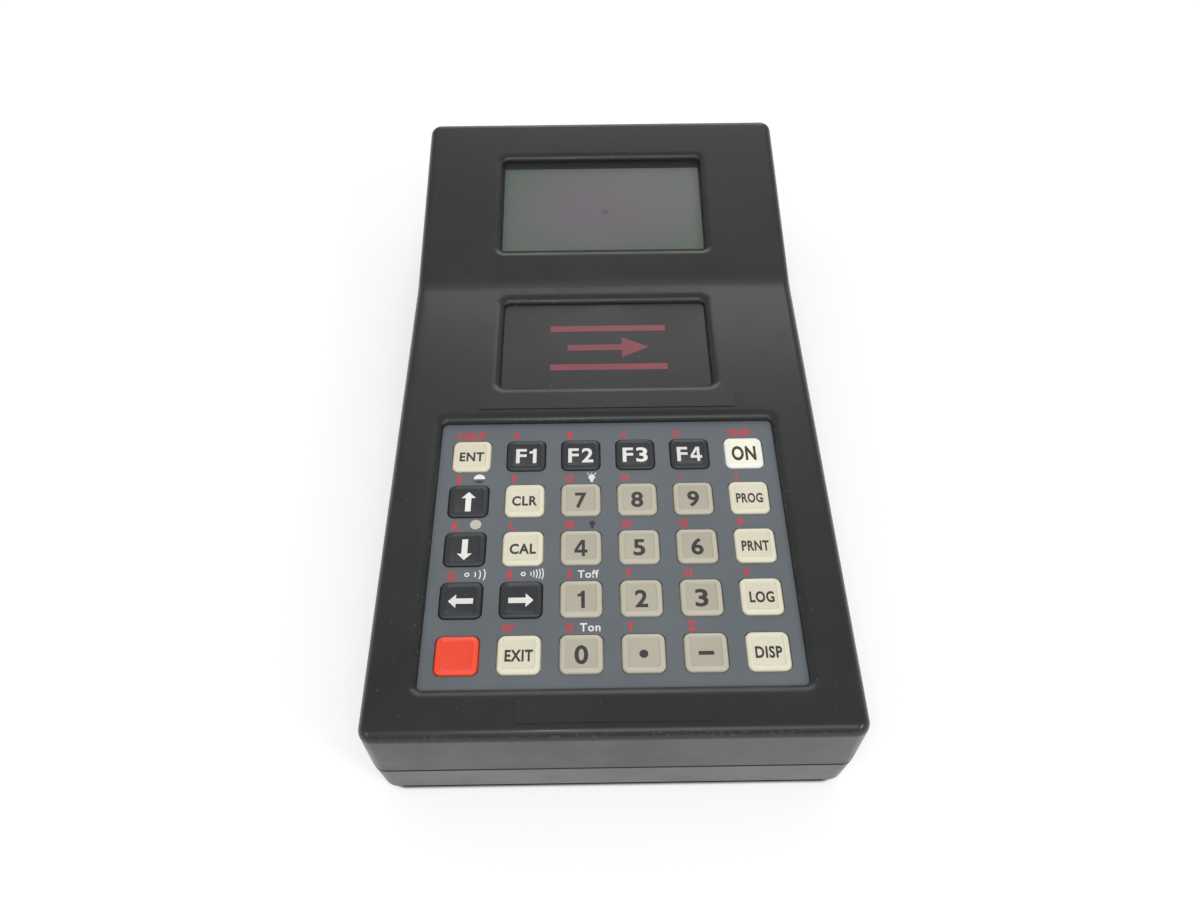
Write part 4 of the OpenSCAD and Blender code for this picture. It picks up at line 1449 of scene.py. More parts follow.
@dataclass(frozen=True)
class TopCase:
    """The moulded upper shell, with its recesses, socket bay and screw bosses.

    Attributes:
        width: Width of the case.
        length: Length of the case.
        corner: Radius of its upright corners.
        edge: Rounding of its upper edges.
        wall: Thickness of its walls.
        part_height: Height of the parting line.
        lean: How far the walls lean in at the top.
        far_reach: Where the deck ends, along V.
        rows: Steps of the deck's mesh along V.
        display: The display recess.
        badge: The badge recess.
        keypad: The keypad recess.
        bay: The socket bay.
        boss_sink: How far below the deck the bosses start.
        lcd_boss: Radius and length of the display board's bosses.
        pad_boss: Radius and length of the keypad board's bosses.
        shell_boss: Radius of the shell screws' bosses, and their reach past the parting line.
    """

    width: float = 130.0
    length: float = 240.0
    corner: float = 4.0
    edge: float = 3.0
    wall: float = 1.5
    part_height: float = 16.0
    lean: float = 0.2
    far_reach: float = 77.565
    rows: int = 34
    display: Recess = Recess(73.2, 43.6, 37.0, 1.8, mouth=2.8, drop=1.76)
    badge: Recess = Recess(68.0, 38.5, -27.15, 2.2, closed=True, drop=2.15)
    keypad: Recess = Recess(102.2, 88.7, -104.95, 2.2, drop=2.15)
    bay: SocketBay = SocketBay()
    boss_sink: float = 1.3
    lcd_boss: Point = (3.0, 6.8)
    pad_boss: Point = (3.0, 4.3)
    shell_boss: Point = (3.5, 1.0)

    def build(self) -> None:
        """Build the shell and dress it."""
        skin = thickened(self.skin().piece("upper_shell_skin"), self.wall, -1.0)
        small = turned("small_boss_master", self.tube(0.42), 24)
        large = turned("large_boss_master", self.tube(0.5), 24)
        shell = join("upper_shell", [
            skin, REPEATER.run("small_bosses", small, self.small_bosses(), CASE_UPPER),
            REPEATER.run("large_bosses", large, self.large_bosses(), CASE_UPPER)])
        put(even_normals(shell), CASE_UPPER, "case", "case_upper", "top_case")

    @staticmethod
    def tube(bore: float) -> list[Point]:
        """Profile of a screw boss of unit radius and unit height that hangs down from its origin."""
        return [(bore, -1.0), (0.97, -1.0), (1.0, -0.97), (1.0, 0.0), (0.0, 0.0)]

    def small_bosses(self) -> list[Spot]:
        """Bosses of the display board and of the keypad board.

        Returns:
            Their spots.
        """
        spots = []
        for side, end in CORNERS:
            head = DECK.place(*FIXINGS.lcd(side, end), -self.boss_sink)
            radius, deep = self.lcd_boss
            spots.append(Spot(head, (DECK.slope, 0.0, 0.0), (radius, radius, deep)))
            radius, deep = self.pad_boss
            head = (*FIXINGS.pad(side, end), DECK.height - self.boss_sink)
            spots.append(Spot(head, stretch=(radius, radius, deep)))
        return spots

    def large_bosses(self) -> list[Spot]:
        """Bosses of the screws that hold the two shells together.

        Returns:
            Their spots.
        """
        spots = []
        radius, reach = self.shell_boss
        for y in FIXINGS.shell_rows:
            rise = max(y - DECK.crease, 0.0) * math.tan(math.radians(DECK.slope))
            top = DECK.height + rise - self.boss_sink
            stretch = (radius, radius, top - self.part_height + reach)
            spots += [Spot((side * FIXINGS.shell_x, y, top), stretch=stretch) for side in (-1, 1)]
        return spots

    def skin(self) -> Sheet:
        """The outer skin: deck, recesses, rounded edges, walls and bay.

        Returns:
            Its faces.
        """
        sheet = Sheet()
        near = -self.length / 2 - DECK.crease
        first, last = near + self.corner, self.far_reach - self.corner
        bend = [DECK.bend * step / 3 for step in range(-3, 4)]
        rows = [first + (last - first) * i / self.rows for i in range(1, self.rows)]
        rows = [v for v in rows if abs(v) > DECK.bend + 1.5] + bend
        outline = Outline(self.width, self.far_reach - near, self.corner, (0.0, (near + self.far_reach) / 2),
                          across=tuple(7.0 * i for i in range(-8, 9)), along=tuple(rows))
        rings = [[DECK.place(x, v, self.edge * (cos - 1)) for x, v in outline.points(self.edge * (sin - 1))]
                 for cos, sin in quarter(7)]
        sheet.bands(rings)
        rim = rings[-1]
        feet = [DECK.place(x, v, -self.edge) for x, v in outline.points(-self.lean)]
        base = [(x, y, self.part_height) for x, y, _ in feet]
        far = max(place[1] for place in rim) - 1e-4
        sheet.band(rim, base, lambda i, j: rim[i][1] > far and rim[j][1] > far)
        self.far_wall(sheet, rim, base, far)
        mouths = [recess.build(sheet) for recess in (self.display, self.badge, self.keypad)]
        inner = [(6.0 * i, v) for i in range(-10, 11) for v in rows]
        sheet.fill(outline.points(-self.edge), mouths, inner, DECK.place)
        return sheet

    def far_wall(self, sheet: Sheet, rim: Sequence[Place], base: Sequence[Place], far: float) -> None:
        """Add the far wall with its socket bay.

        Args:
            sheet: The skin.
            rim: The lower edge of the top rounding.
            base: The lower edge of the walls.
            far: Places of the rim beyond this on Y belong to the far wall.
        """
        top = [place for place in rim if place[1] > far]
        low = [base[i] for i, place in enumerate(rim) if place[1] > far]
        high_y, low_y, high_z = top[0][1], low[0][1], top[0][2]

        def wall_at(z: float) -> float:
            """The wall's place on Y at a height."""
            return high_y + (low_y - high_y) * (high_z - z) / (high_z - self.part_height)

        mouth = self.bay.build(sheet, wall_at)
        outer = [(x, z) for x, _, z in top] + [(x, z) for x, _, z in reversed(low)]
        inner = [(-57.5 + 7.0 * i, z) for i in range(17) for z in (18.0, 44.0)]
        sheet.fill(outer, [mouth], inner, lambda x, z: (x, wall_at(z), z))


@dataclass(frozen=True)
class BottomCase:
    """The lower shell with its seal, feet, screws and battery cover.

    Attributes:
        foot_radius: Radius of a foot.
        foot_height: Height of a foot.
        foot_spots: Where the feet stand.
        screw_seat: Height of the shell screws' seats.
        cover_half: Half size of the rectangle of the battery cover's screws.
        cover_middle: Its middle on Y.
        cover_seat: Height of the cover screws' seats.
        shell_edge: Rounding of the shell.
        seal_edge: Rounding of the seal.
        cover_edge: Rounding of the battery cover.
    """

    foot_radius: float = 5.0
    foot_height: float = 1.9
    foot_spots: tuple[Point, ...] = ((-38.0, -108.5), (38.0, -108.5), (-44.0, 104.0), (44.0, 104.0))
    screw_seat: float = 5.8
    cover_half: Point = (47.1, 30.05)
    cover_middle: float = -64.95
    cover_seat: float = 2.5
    shell_edge: float = 0.5
    seal_edge: float = 0.2
    cover_edge: float = 0.35

    def build(self) -> None:
        """Build the shell's pieces and dress them."""
        soften("bottom_case", "lower_shell", self.shell_edge, CASE_LOWER_PAINTED_LIGHT, "case_lower")
        soften("case_seal", "shell_seal", self.seal_edge, RUBBER, "seal")
        soften("battery_cover", "battery_door", self.cover_edge, CASE_LOWER_PAINTED_LIGHT)
        self.feet()
        seats = [Spot((side * FIXINGS.shell_x, y, self.screw_seat), ROLLED_OVER)
                 for side in (-1, 1) for y in FIXINGS.shell_rows]
        screws = SHELL_SCREW.copies("shell_screws", seats, DARK_STEEL)
        put(screws, DARK_STEEL, "case", "screws_case", "case_screws")
        half_x, half_y = self.cover_half
        seats = [Spot((side * half_x, self.cover_middle + end * half_y, self.cover_seat), ROLLED_OVER)
                 for side, end in CORNERS]
        screws = SMALL_SCREW.copies("battery_door_screws", seats, SCREW_STEEL)
        put(screws, SCREW_STEEL, "case", "screws_cover", "cover_screws")

    def feet(self) -> None:
        """Build the four rubber feet, each with a worn rounded edge and a shallow dish."""
        wide, tall = self.foot_radius, self.foot_height
        profile = [(0.0, 0.25), (wide * 0.5, 0.15), (wide * 0.66, 0.0), (wide * 0.88, 0.0),
                   (wide * 0.96, 0.12), (wide, 0.45), (wide, tall), (0.0, tall)]
        spots = [Spot((x, y, 0.0)) for x, y in self.foot_spots]
        feet = REPEATER.run("case_feet", turned("foot_master", profile, 36), spots, RUBBER)
        put(feet, RUBBER, "case", "feet", "rubber_feet")


# Display and badge


@dataclass(frozen=True)
class Display:
    """The window and the liquid crystal module under it.

    Attributes:
        window_edge: Rounding of the window.
        frame_edge: Rounding of the module's frame.
        board_edge: Rounding of its board.
    """

    window_edge: float = 0.15
    frame_edge: float = 0.2
    board_edge: float = 0.1

    def build(self) -> None:
        """Dress the display's pieces."""
        soften("display_window", "window_plate", self.window_edge, WINDOW, "window")
        soften("lcd_frame", "lcd_surround", self.frame_edge, LCD_SURROUND)
        carry("lcd_glass", CRYSTAL)
        carry("lcd_backlight", DIFFUSER)
        soften("lcd_board", "display_board", self.board_edge, BOARD_GREEN)
        carry("display_cable", RIBBON)


@dataclass(frozen=True)
class Badge:
    """The film plate in the badge recess, its pictogram of flow in a pipe, and the two film strips.

    Attributes:
        face: Height of the plate's face.
        middle: Middle of the pictogram.
        pipe: Length and thickness of each of the pipe's walls.
        pipe_gap: Distance of a wall from the middle.
        arrow: Length of the arrow and width of its head.
        stem: Half width of the arrow's stem.
        film_edge: Rounding of the films.
    """

    face: float = 35.8
    middle: Point = (0.95, 14.6)
    pipe: Point = (38.5, 2.6)
    pipe_gap: float = 8.7
    arrow: Point = (27.0, 9.0)
    stem: float = 1.3
    film_edge: float = 0.05

    def build(self) -> None:
        """Build and dress the plate, pictogram and strips."""
        soften("badge_plate", "badge_film", self.film_edge, BADGE_FILM, "badge")
        soften("upper_label", "upper_strip", self.film_edge, STRIP_FILM, "label_upper")
        soften("lower_label", "lower_strip", self.film_edge, STRIP_FILM, "label_lower")
        ink = Print(self.face)
        half_x, half_y = self.pipe[0] / 2, self.pipe[1] / 2
        for side in (-1, 1):
            ink.polygon(block((-half_x, -half_y), (half_x, half_y)),
                        (self.middle[0], self.middle[1] + side * self.pipe_gap))
        ink.polygon(arrow_points(self.arrow[0], self.stem, self.arrow[1], self.arrow[1]), self.middle)
        put(ink.piece("flow_pictogram"), DULL_RED_INK, "case", "badge")


# Keypad


class KeyColour(Enum):
    """Moulded colours of the keys."""

    CREAM = KeyFinish("key_cream_rubber", linear(225, 220, 197), dust=0.15, pale=1.1)
    PALE = KeyFinish("key_pale_rubber", linear(254, 253, 228), patch=0.03, dust=0.1)
    BEIGE = KeyFinish("key_beige_rubber", linear(183, 177, 160), dust=0.15)
    DARK = KeyFinish("key_charcoal_rubber", linear(44, 47, 50), patch=0.08, dust=0.3)
    RED = KeyFinish("key_red_rubber", linear(246, 74, 48), dust=0.1)


class Sign(Enum):
    """Legends that are drawn; an arrow's value is its angle in degrees."""

    RIGHT = 0.0
    UP = 90.0
    LEFT = 180.0
    DOWN = 270.0
    POINT = "point"
    BAR = "bar"


class Mark(Enum):
    """Small symbols that are printed above some keys."""

    NONE = "none"
    HALF_MOON = "half moon"
    MOON = "moon"
    LAMP_LIT = "lit lamp"
    LAMP_DARK = "dark lamp"
    SOFT_SOUND = "soft sound"
    LOUD_SOUND = "loud sound"
    OFF_TIME = "Toff"
    ON_TIME = "Ton"


@dataclass(frozen=True)
class KeyPlan:
    """One key: its node, colour and print.

    Attributes:
        name: The node's name after "key_".
        colour: Its moulded colour.
        legend: The word, digit or sign on it.
        wide: Width of the word or digit in millimetres.
        letter: The red letter or word printed above it.
        mark: The symbol printed above it.
    """

    name: str
    colour: KeyColour
    legend: str | Sign = ""
    wide: float = 0.0
    letter: str = ""
    mark: Mark = Mark.NONE


CREAM, PALE, BEIGE, DARK, RED = KeyColour
KEY_ROWS = (
    (KeyPlan("enter", CREAM, "ENT", 7.4, "HELP"), KeyPlan("f1", DARK, "F1", 6.2, "A"),
     KeyPlan("f2", DARK, "F2", 7.6, "B"), KeyPlan("f3", DARK, "F3", 7.6, "C"),
     KeyPlan("f4", DARK, "F4", 7.6, "D"), KeyPlan("on", PALE, "ON", 7.4, "OFF")),
    (KeyPlan("up", DARK, Sign.UP, letter="E", mark=Mark.HALF_MOON),
     KeyPlan("clear", CREAM, "CLR", 7.4, "F"),
     KeyPlan("7", BEIGE, "7", 3.4, "G", Mark.LAMP_LIT), KeyPlan("8", BEIGE, "8", 3.6, "H"),
     KeyPlan("9", BEIGE, "9", 3.5, "I"), KeyPlan("program", CREAM, "PROG", 7.8, "J")),
    (KeyPlan("down", DARK, Sign.DOWN, letter="K", mark=Mark.MOON),
     KeyPlan("calibrate", CREAM, "CAL", 7.5, "L"),
     KeyPlan("4", BEIGE, "4", 3.7, "M", Mark.LAMP_DARK), KeyPlan("5", BEIGE, "5", 3.4, "N"),
     KeyPlan("6", BEIGE, "6", 3.5, "O"), KeyPlan("print", CREAM, "PRNT", 7.8, "P")),
    (KeyPlan("left", DARK, Sign.LEFT, letter="Q", mark=Mark.SOFT_SOUND),
     KeyPlan("right", DARK, Sign.RIGHT, letter="R", mark=Mark.LOUD_SOUND),
     KeyPlan("1", BEIGE, "1", 2.0, "S", Mark.OFF_TIME), KeyPlan("2", BEIGE, "2", 3.5, "T"),
     KeyPlan("3", BEIGE, "3", 3.6, "U"), KeyPlan("log", CREAM, "LOG", 6.8, "V")),
    (KeyPlan("red", RED), KeyPlan("exit", CREAM, "EXIT", 7.5, "W"),
     KeyPlan("0", BEIGE, "0", 3.65, "X", Mark.ON_TIME), KeyPlan("point", BEIGE, Sign.POINT, letter="Y"),
     KeyPlan("minus", BEIGE, Sign.BAR, letter="Z"), KeyPlan("display", CREAM, "DISP", 7.2)),
)


@dataclass(frozen=True)
class Keypad:
    """The keypad's panel, its print, the thirty keys and the layers under them.

    Attributes:
        panel_face: Height of the panel's face.
        step: Pitch of the keys.
        first_column: Place of the first column on X, in steps.
        first_row: Place of the first row on Y.
        cap_width: Width of a key over its walls.
        cap_length: Length of a key over its walls.
        cap_radius: Corner radius of its walls.
        least_radius: Least corner radius of its top.
        flange: How far the flange stands out under the panel.
        flange_radius: Corner radius of the flange.
        flange_span: Lower and upper face of the flange, from the panel's face.
        stub: Radius of the stub that presses the dome.
        stub_foot: Its foot, from the panel's face.
        face_rise: Height of the key's inner square above the panel.
        rows: Inset and height of each ring of the ridged top.
        letter_tall: Height of the red letters.
        letter_rise: Distance of the red letters from the key's middle.
        letter_fat: Growth of the red letters' strokes.
        legend_tall: Height of the digits.
        word_tall: Height of the words.
        legend_drop: How far the legends lie below the key's middle.
        panel_edge: Rounding of the panel.
        board_edge: Rounding of the keypad's board.
    """

    panel_face: float = 35.6
    step: float = KeyFinish.step_mm
    first_column: float = -2.5
    first_row: float = KeyFinish.start_mm[1]
    cap_width: float = 11.45
    cap_length: float = 11.25
    cap_radius: float = 1.9
    least_radius: float = 0.9
    flange: float = 0.9
    flange_radius: float = 0.3
    flange_span: Point = (-1.9, -1.1)
    stub: float = 2.0
    stub_foot: float = -2.25
    face_rise: float = 0.62
    rows: tuple[Point, ...] = (
        (0.0, 0.06), (0.06, 0.26), (0.22, 0.46), (0.45, 0.62), (0.7, 0.71), (0.95, 0.77),
        (1.15, 0.87), (1.28, 0.9), (1.4, 0.84), (1.55, 0.68), (1.75, 0.62))
    letter_tall: float = 2.8
    letter_rise: float = 7.95
    letter_fat: float = 0.035
    legend_tall: float = 5.4
    word_tall: float = 3.4
    legend_drop: float = 0.42
    panel_edge: float = 0.12
    board_edge: float = 0.1

    def places(self) -> list[tuple[KeyPlan, Point]]:
        """Every key's plan with the key's middle, seen from above."""
        return [(plan, ((column + self.first_column) * self.step, self.first_row - row * self.step))
                for row, plans in enumerate(KEY_ROWS) for column, plan in enumerate(plans)]

    def build(self) -> None:
        """Build the keypad from the panel down to its board."""
        soften("keypad_overlay", "keypad_panel_sheet", self.panel_edge, PANEL_FILM, "keypad_panel")
        self.panel_print()
        master = self.cap()
        for plan, centre in self.places():
            self.key(plan, centre, master)
        bpy.data.objects.remove(master)
        carry("keypad_spacer", SPACER)
        carry("snap_domes", DOME_STEEL)
        soften("keypad_board", "keypad_circuit", self.board_edge, BOARD_GREEN)
        carry("keypad_tail", AMBER_TAIL)

    def cap(self) -> Piece:
        """Build one key round its own origin, on the panel's face: stub, flange, wall and ridged top.

        Returns:
            The key.
        """
        low, high = self.flange_span

        def ring(out: float, height: float) -> list[Place]:
            """One ring of the cap, grown outwards by a distance."""
            radius = max(self.cap_radius + 0.45 * out, self.least_radius) if out <= 0 else self.flange_radius
            outline = Outline(self.cap_width + 2 * out, self.cap_length + 2 * out, radius)
            return [(x, y, height) for x, y in outline.points()]

        stub = [[(*polar(self.stub, -90 + 90 * turn + 10 * step), height)
                 for turn in range(4) for step in (0.01, *range(1, 9))] for height in (self.stub_foot, low)]
        rings = [*stub, ring(self.flange, low), ring(self.flange, high), ring(0.0, high)]
        rings += [ring(-inset, height) for inset, height in self.rows]
        sheet = Sheet()
        sheet.face(rings[0])
        sheet.bands(rings)
        sheet.face(rings[-1])
        return shade(sheet.piece("key_master"), 40.0)

    def key(self, plan: KeyPlan, centre: Point, master: Piece) -> None:
        """Build one key with its legend.

        Args:
            plan: The key's plan.
            centre: The key's middle.
            master: The shape that all keys share.
        """
        body, finish = "key_" + plan.name, plan.colour.value
        cap = REPEATER.run("cap_" + plan.name, master, [Spot((*centre, self.panel_face))], finish, keep=True)
        put(cap, finish, body, body, body)
        if not plan.legend:
            return
        ink = Print(self.panel_face + self.face_rise)
        middle = (centre[0], centre[1] - self.legend_drop)
        if plan.legend is Sign.POINT:
            ink.disc(middle, 1.2)
        elif plan.legend is Sign.BAR:
            ink.polygon(block((-2.05, -0.55), (2.05, 0.55)), middle)
        elif isinstance(plan.legend, Sign):
            cos, sin = polar(1.0, plan.legend.value)
            flat = arrow_points(6.9, 0.83, 4.2, 2.15)
            ink.polygon([(x * cos - y * sin, x * sin + y * cos) for x, y in flat], middle)
        else:
            self.word(ink, plan, middle)
        put(ink.piece("legend_" + plan.name), WHITE_INK if plan.colour is DARK else DARK_INK, body, body)

    def word(self, ink: Print, plan: KeyPlan, centre: Point) -> None:
        """Print a key's word or digit, and the name of a function key in two parts.

        Args:
            ink: The print.
            plan: The key's plan.
            centre: The middle of the legend.
        """
        x, y = centre
        if plan.colour is DARK:
            fat, letter, digit = 0.022, 3.2, 2.2 if plan.legend[1] == "1" else 3.5
            ink.word(plan.legend[0], (x - plan.wide / 2 + letter / 2, y), self.legend_tall, fat, letter)
            ink.word(plan.legend[1], (x + plan.wide / 2 - digit / 2, y), self.legend_tall, fat, digit)
        elif len(plan.legend) > 2:
            ink.word(plan.legend, centre, self.word_tall, 0.032, plan.wide)
        else:
            fat = 0.034 if plan.colour is PALE else 0.026
            ink.word(plan.legend, centre, self.legend_tall, fat, plan.wide)

    def panel_print(self) -> None:
        """Print the red letters and the small symbols on the panel."""
        red, white, dark, grey = (Print(self.panel_face) for _ in range(4))
        for plan, (x, y) in self.places():
            y += self.letter_rise
            if plan.letter == "HELP":
                red.word(plan.letter, (x - 0.3, y), self.letter_tall, self.letter_fat, 8.6)
            elif plan.letter == "OFF":
                red.word(plan.letter, (x - 0.8, y), self.letter_tall, self.letter_fat, 7.2)
            elif plan.letter:
                fat = 0.02 if plan.letter == "W" else self.letter_fat
                red.word(plan.letter, (x - 3.25, y), self.letter_tall, fat, narrow=0.86)
            self.mark(plan.mark, (x - 0.6, y + 0.3), white, dark, grey)
        for name, ink, finish in (("letters_red", red, RED_INK), ("marks_white", white, WHITE_INK),
                                  ("marks_dark", dark, DARK_INK), ("marks_grey", grey, MOON_INK)):
            put(ink.piece(name), finish, "case", "keypad_panel")

    def mark(self, mark: Mark, centre: Point, white: Print, dark: Print, grey: Print) -> None:
        """Print the symbol above a key.

        Args:
            mark: Which symbol.
            centre: The middle of the print line above the key.
            white: The white print.
            dark: The dark print.
            grey: The pale grey print.
        """
        x, y = centre
        if mark is Mark.HALF_MOON:
            white.disc((x + 3.3, y - 0.1), 1.7, 0.0, 180.0)
            dark.disc((x + 3.3, y - 0.16), 1.5, 200.0, 340.0)
        elif mark is Mark.MOON:
            grey.disc((x + 3.15, y + 0.2), 1.65)
        elif mark is Mark.LAMP_LIT:
            self.lamp(white, (x + 3.85, y + 0.1), 1.0, ((50.0, 2.1), (90.0, 1.6), (130.0, 2.1)))
        elif mark is Mark.LAMP_DARK:
            self.lamp(dark, (x + 3.85, y + 0.1), 0.9)
        elif mark is Mark.SOFT_SOUND:
            self.sound(white, (x + 1.7, y), ((2.4, 0.8), (3.8, 1.4), (5.1, 1.75)))
        elif mark is Mark.LOUD_SOUND:
            waves = ((2.2, 0.6), (3.05, 1.05), (3.9, 1.35), (4.75, 1.55), (5.6, 1.75))
            self.sound(white, (x + 0.95, y), waves)
        elif mark is not Mark.NONE:
            right, wide = (2.6, 5.9) if mark is Mark.OFF_TIME else (3.0, 5.6)
            white.word(mark.value, (x + right, y - 0.3), 2.5, 0.02, wide)

    @staticmethod
    def lamp(ink: Print, centre: Point, radius: float, rays: Sequence[Point] = ()) -> None:
        """Print a lamp: a bulb on its cap, with its rays when it is lit.

        Args:
            ink: The print.
            centre: Middle of the bulb.
            radius: Radius of the bulb.
            rays: Angle in degrees and outer reach of each ray.
        """
        cap, foot, near, half = 0.4, -1.8, 1.2, 0.14
        bulb = [polar(radius, -35.0 + 250.0 * step / 16) for step in range(17)]
        ink.polygon([(cap, foot), (cap, -1.1), *bulb, (-cap, -1.1), (-cap, foot)], centre)
        for angle, far in rays:
            cos, sin = polar(1.0, angle)
            ray = block((near, -half), (far, half))
            ink.polygon([(x * cos - y * sin, x * sin + y * cos) for x, y in ray], centre)

    @staticmethod
    def sound(ink: Print, start: Point, waves: Sequence[Point]) -> None:
        """Print a small ring and the sound waves that leave it.

        Args:
            ink: The print.
            start: Middle of the ring.
            waves: Reach and half height of each wave.
        """
        share, widest = 0.75, 55.0
        ink.arc(start, 0.55, 0.35, 0.0, 360.0)
        for reach, half in waves:
            radius = reach * share
            spread = min(math.degrees(math.asin(half / radius)), widest)
            ink.arc((start[0] + reach * (1 - share), start[1]), radius, 0.32, -spread, spread)


# Inside and sockets


@dataclass(frozen=True)
class Electronics:
    """The main board with its chips, the screws of all boards, and the battery pack.

    Attributes:
        board_top: Height of the main board's upper face.
        board_middle: Its middle on Y.
        board_width: Its width.
        board_length: Its length.
        board_screws: Place of its screws across, and their rows on Y.
        pad_seat: Height of the seats of the keypad board's screws.
        lcd_seat: Depth of the seats of the display board's screws below the deck.
        chip_shares: Middle and size of each chip, as shares of the board.
        leg_step: Pitch of the chips' legs.
        cell_middle: Middle of the battery cells on Y.
        cell_height: Height of their axes.
        cell_diameter: Their diameter.
        cell_length: Their length.
        cells: How many there are.
        board_edge: Rounding of the main board.
        parts_edge: Rounding of its chips and headers.
    """

    board_top: float = 24.1
    board_middle: float = 6.0
    board_width: float = 98.0
    board_length: float = 200.0
    board_screws: tuple[float, Place] = (45.0, (-90.0, 4.5, 84.0))
    pad_seat: float = 30.6
    lcd_seat: float = 9.7
    chip_shares: tuple[tuple[float, float, float, float], ...] = (
        (0.18, -0.30, 0.30, 0.13), (-0.24, -0.34, 0.22, 0.10), (-0.26, -0.20, 0.16, 0.07),
        (0.26, -0.16, 0.20, 0.06), (0.04, -0.16, 0.14, 0.06), (-0.30, 0.06, 0.18, 0.09),
        (-0.04, 0.05, 0.22, 0.11), (0.28, 0.04, 0.20, 0.09), (-0.28, 0.19, 0.24, 0.08),
        (0.02, 0.19, 0.12, 0.05), (0.28, 0.18, 0.16, 0.07), (0.30, 0.30, 0.12, 0.05))
    leg_step: float = 1.8
    cell_middle: float = -66.15
    cell_height: float = 10.85
    cell_diameter: float = 14.5
    cell_length: float = 50.5
    cells: int = 6
    board_edge: float = 0.1
    parts_edge: float = 0.15

    def build(self) -> None:
        """Build the boards' pieces and the battery."""
        soften("main_board", "main_circuit", self.board_edge, BOARD_GREEN)
        soften("board_parts", "chips_and_headers", self.parts_edge, EPOXY)
        put(self.legs(), SCREW_STEEL, "case", "board_parts")
        screws = SMALL_SCREW.copies("circuit_screws", self.screw_seats(), SCREW_STEEL)
        put(screws, SCREW_STEEL, "case", "screws_small", "board_screws")
        put(self.battery(), CELL_WRAP, "case", "battery", "battery_pack")
        carry("battery_contacts", GILT)

    def legs(self) -> Piece:
        """The chips' bent legs along their long sides.

        Returns:
            One piece with all the legs.
        """
        profile = [(-0.1, 1.2), (0.45, 1.2), (0.7, 0.15), (1.2, 0.15), (1.2, 0.0), (0.55, 0.0), (0.3, 1.05),
                   (-0.1, 1.05)]
        sheet = Sheet()
        sheet.block([[(x, y, z) for x, z in profile] for y in (-0.25, 0.25)])
        spots = []
        for across, along, wide, long in self.chip_shares:
            x, y = across * self.board_width, self.board_middle + along * self.board_length
            reach = wide * self.board_width / 2
            count = int((long * self.board_length - 1.5) / self.leg_step)
            for step in range(count + 1):
                row = y + (step - count / 2) * self.leg_step
                spots.append(Spot((x + reach, row, self.board_top)))
                spots.append(Spot((x - reach, row, self.board_top), (0.0, 0.0, 180.0)))
        return REPEATER.run("chip_legs", sheet.piece("leg_master"), spots, SCREW_STEEL)

    def screw_seats(self) -> list[Spot]:
        """Seats of the screws of the main board, the keypad board and the display board.

        Returns:
            Their spots.
        """
        seats = []
        across, rows = self.board_screws
        for side in (-1, 1):
            seats += [Spot((side * across, y, self.board_top)) for y in rows]
            for end in (-1, 1):
                seats.append(Spot((*FIXINGS.pad(side, end), self.pad_seat), ROLLED_OVER))
                seat = DECK.place(*FIXINGS.lcd(side, end), -self.lcd_seat)
                seats.append(Spot(seat, (180.0 + DECK.slope, 0.0, 0.0)))
        return seats

    def battery(self) -> Piece:
        """The shrink-wrapped pack: cells with their end caps, and the wrap that bridges them.

        Returns:
            The pack.
        """
        radius, half = self.cell_diameter / 2 - 0.02, self.cell_length / 2
        profile = [(0.0, -half), (radius - 1.2, -half), (radius - 0.35, -half + 0.15), (radius, -half + 0.6),
                   (radius, half - 1.4), (radius - 0.3, half - 0.9), (radius - 1.0, half - 0.75),
                   (2.9, half - 0.75), (2.7, half), (0.0, half)]
        reach = (self.cells - 1) / 2
        spots = [Spot(((i - reach) * self.cell_diameter, self.cell_middle, self.cell_height),
                      (90.0, 0.0, 180.0 * (i % 2))) for i in range(self.cells)]
        cells = REPEATER.run("cells", turned("cell_master", profile, 36), spots, CELL_WRAP)
        width, length = 2 * reach * self.cell_diameter, self.cell_length - 2.0
        outline = Outline(width, length, 0.6, (0.0, self.cell_middle))
        high = 0.3 * self.cell_diameter
        wrap = Sheet()
        wrap.block([[(x, y, self.cell_height + z) for x, y in outline.points()] for z in (-high, high)])
        return shade(join("battery_cells", [cells, wrap.piece("wrap")]))


@dataclass(frozen=True)
class Sockets:
    """The four sockets in the far wall and their nuts.

    Attributes:
        rim: Rounding of the sockets.
        nut_edge: Rounding of the nuts.
    """

    rim: float = 0.25
    nut_edge: float = 0.2

    def build(self) -> None:
        """Dress the sockets."""
        soften("transducer_sockets", "coaxial_sockets", self.rim, NICKEL, "sockets")
        soften("socket_nuts", "hexagon_nuts", self.nut_edge, NICKEL, "nuts")
        soften("power_jack", "power_socket", self.rim, JACK_NYLON, "jack")
        soften("data_socket", "round_data_socket", self.rim, SATIN_STEEL)


# Studio


@dataclass(frozen=True)
class Lamp:
    """A square soft lamp; its places and its size are in metres.

    Attributes:
        name: Its name.
        place: Where it stands.
        size: Side of its square.
        power: Its power in watts.
        aim: Where it points.
    """

    name: str
    place: Place
    size: float
    power: float
    aim: Place = (0.0, 0.0, 0.03)

    def build(self) -> None:
        """Put the lamp in the scene."""
        lamp = bpy.data.lights.new(self.name, "AREA")
        lamp.size = self.size
        lamp.energy = self.power
        made = link(self.name, lamp)
        made.location = self.place
        made.rotation_euler = (Vector(self.aim) - Vector(self.place)).to_track_quat("-Z", "Y").to_euler()


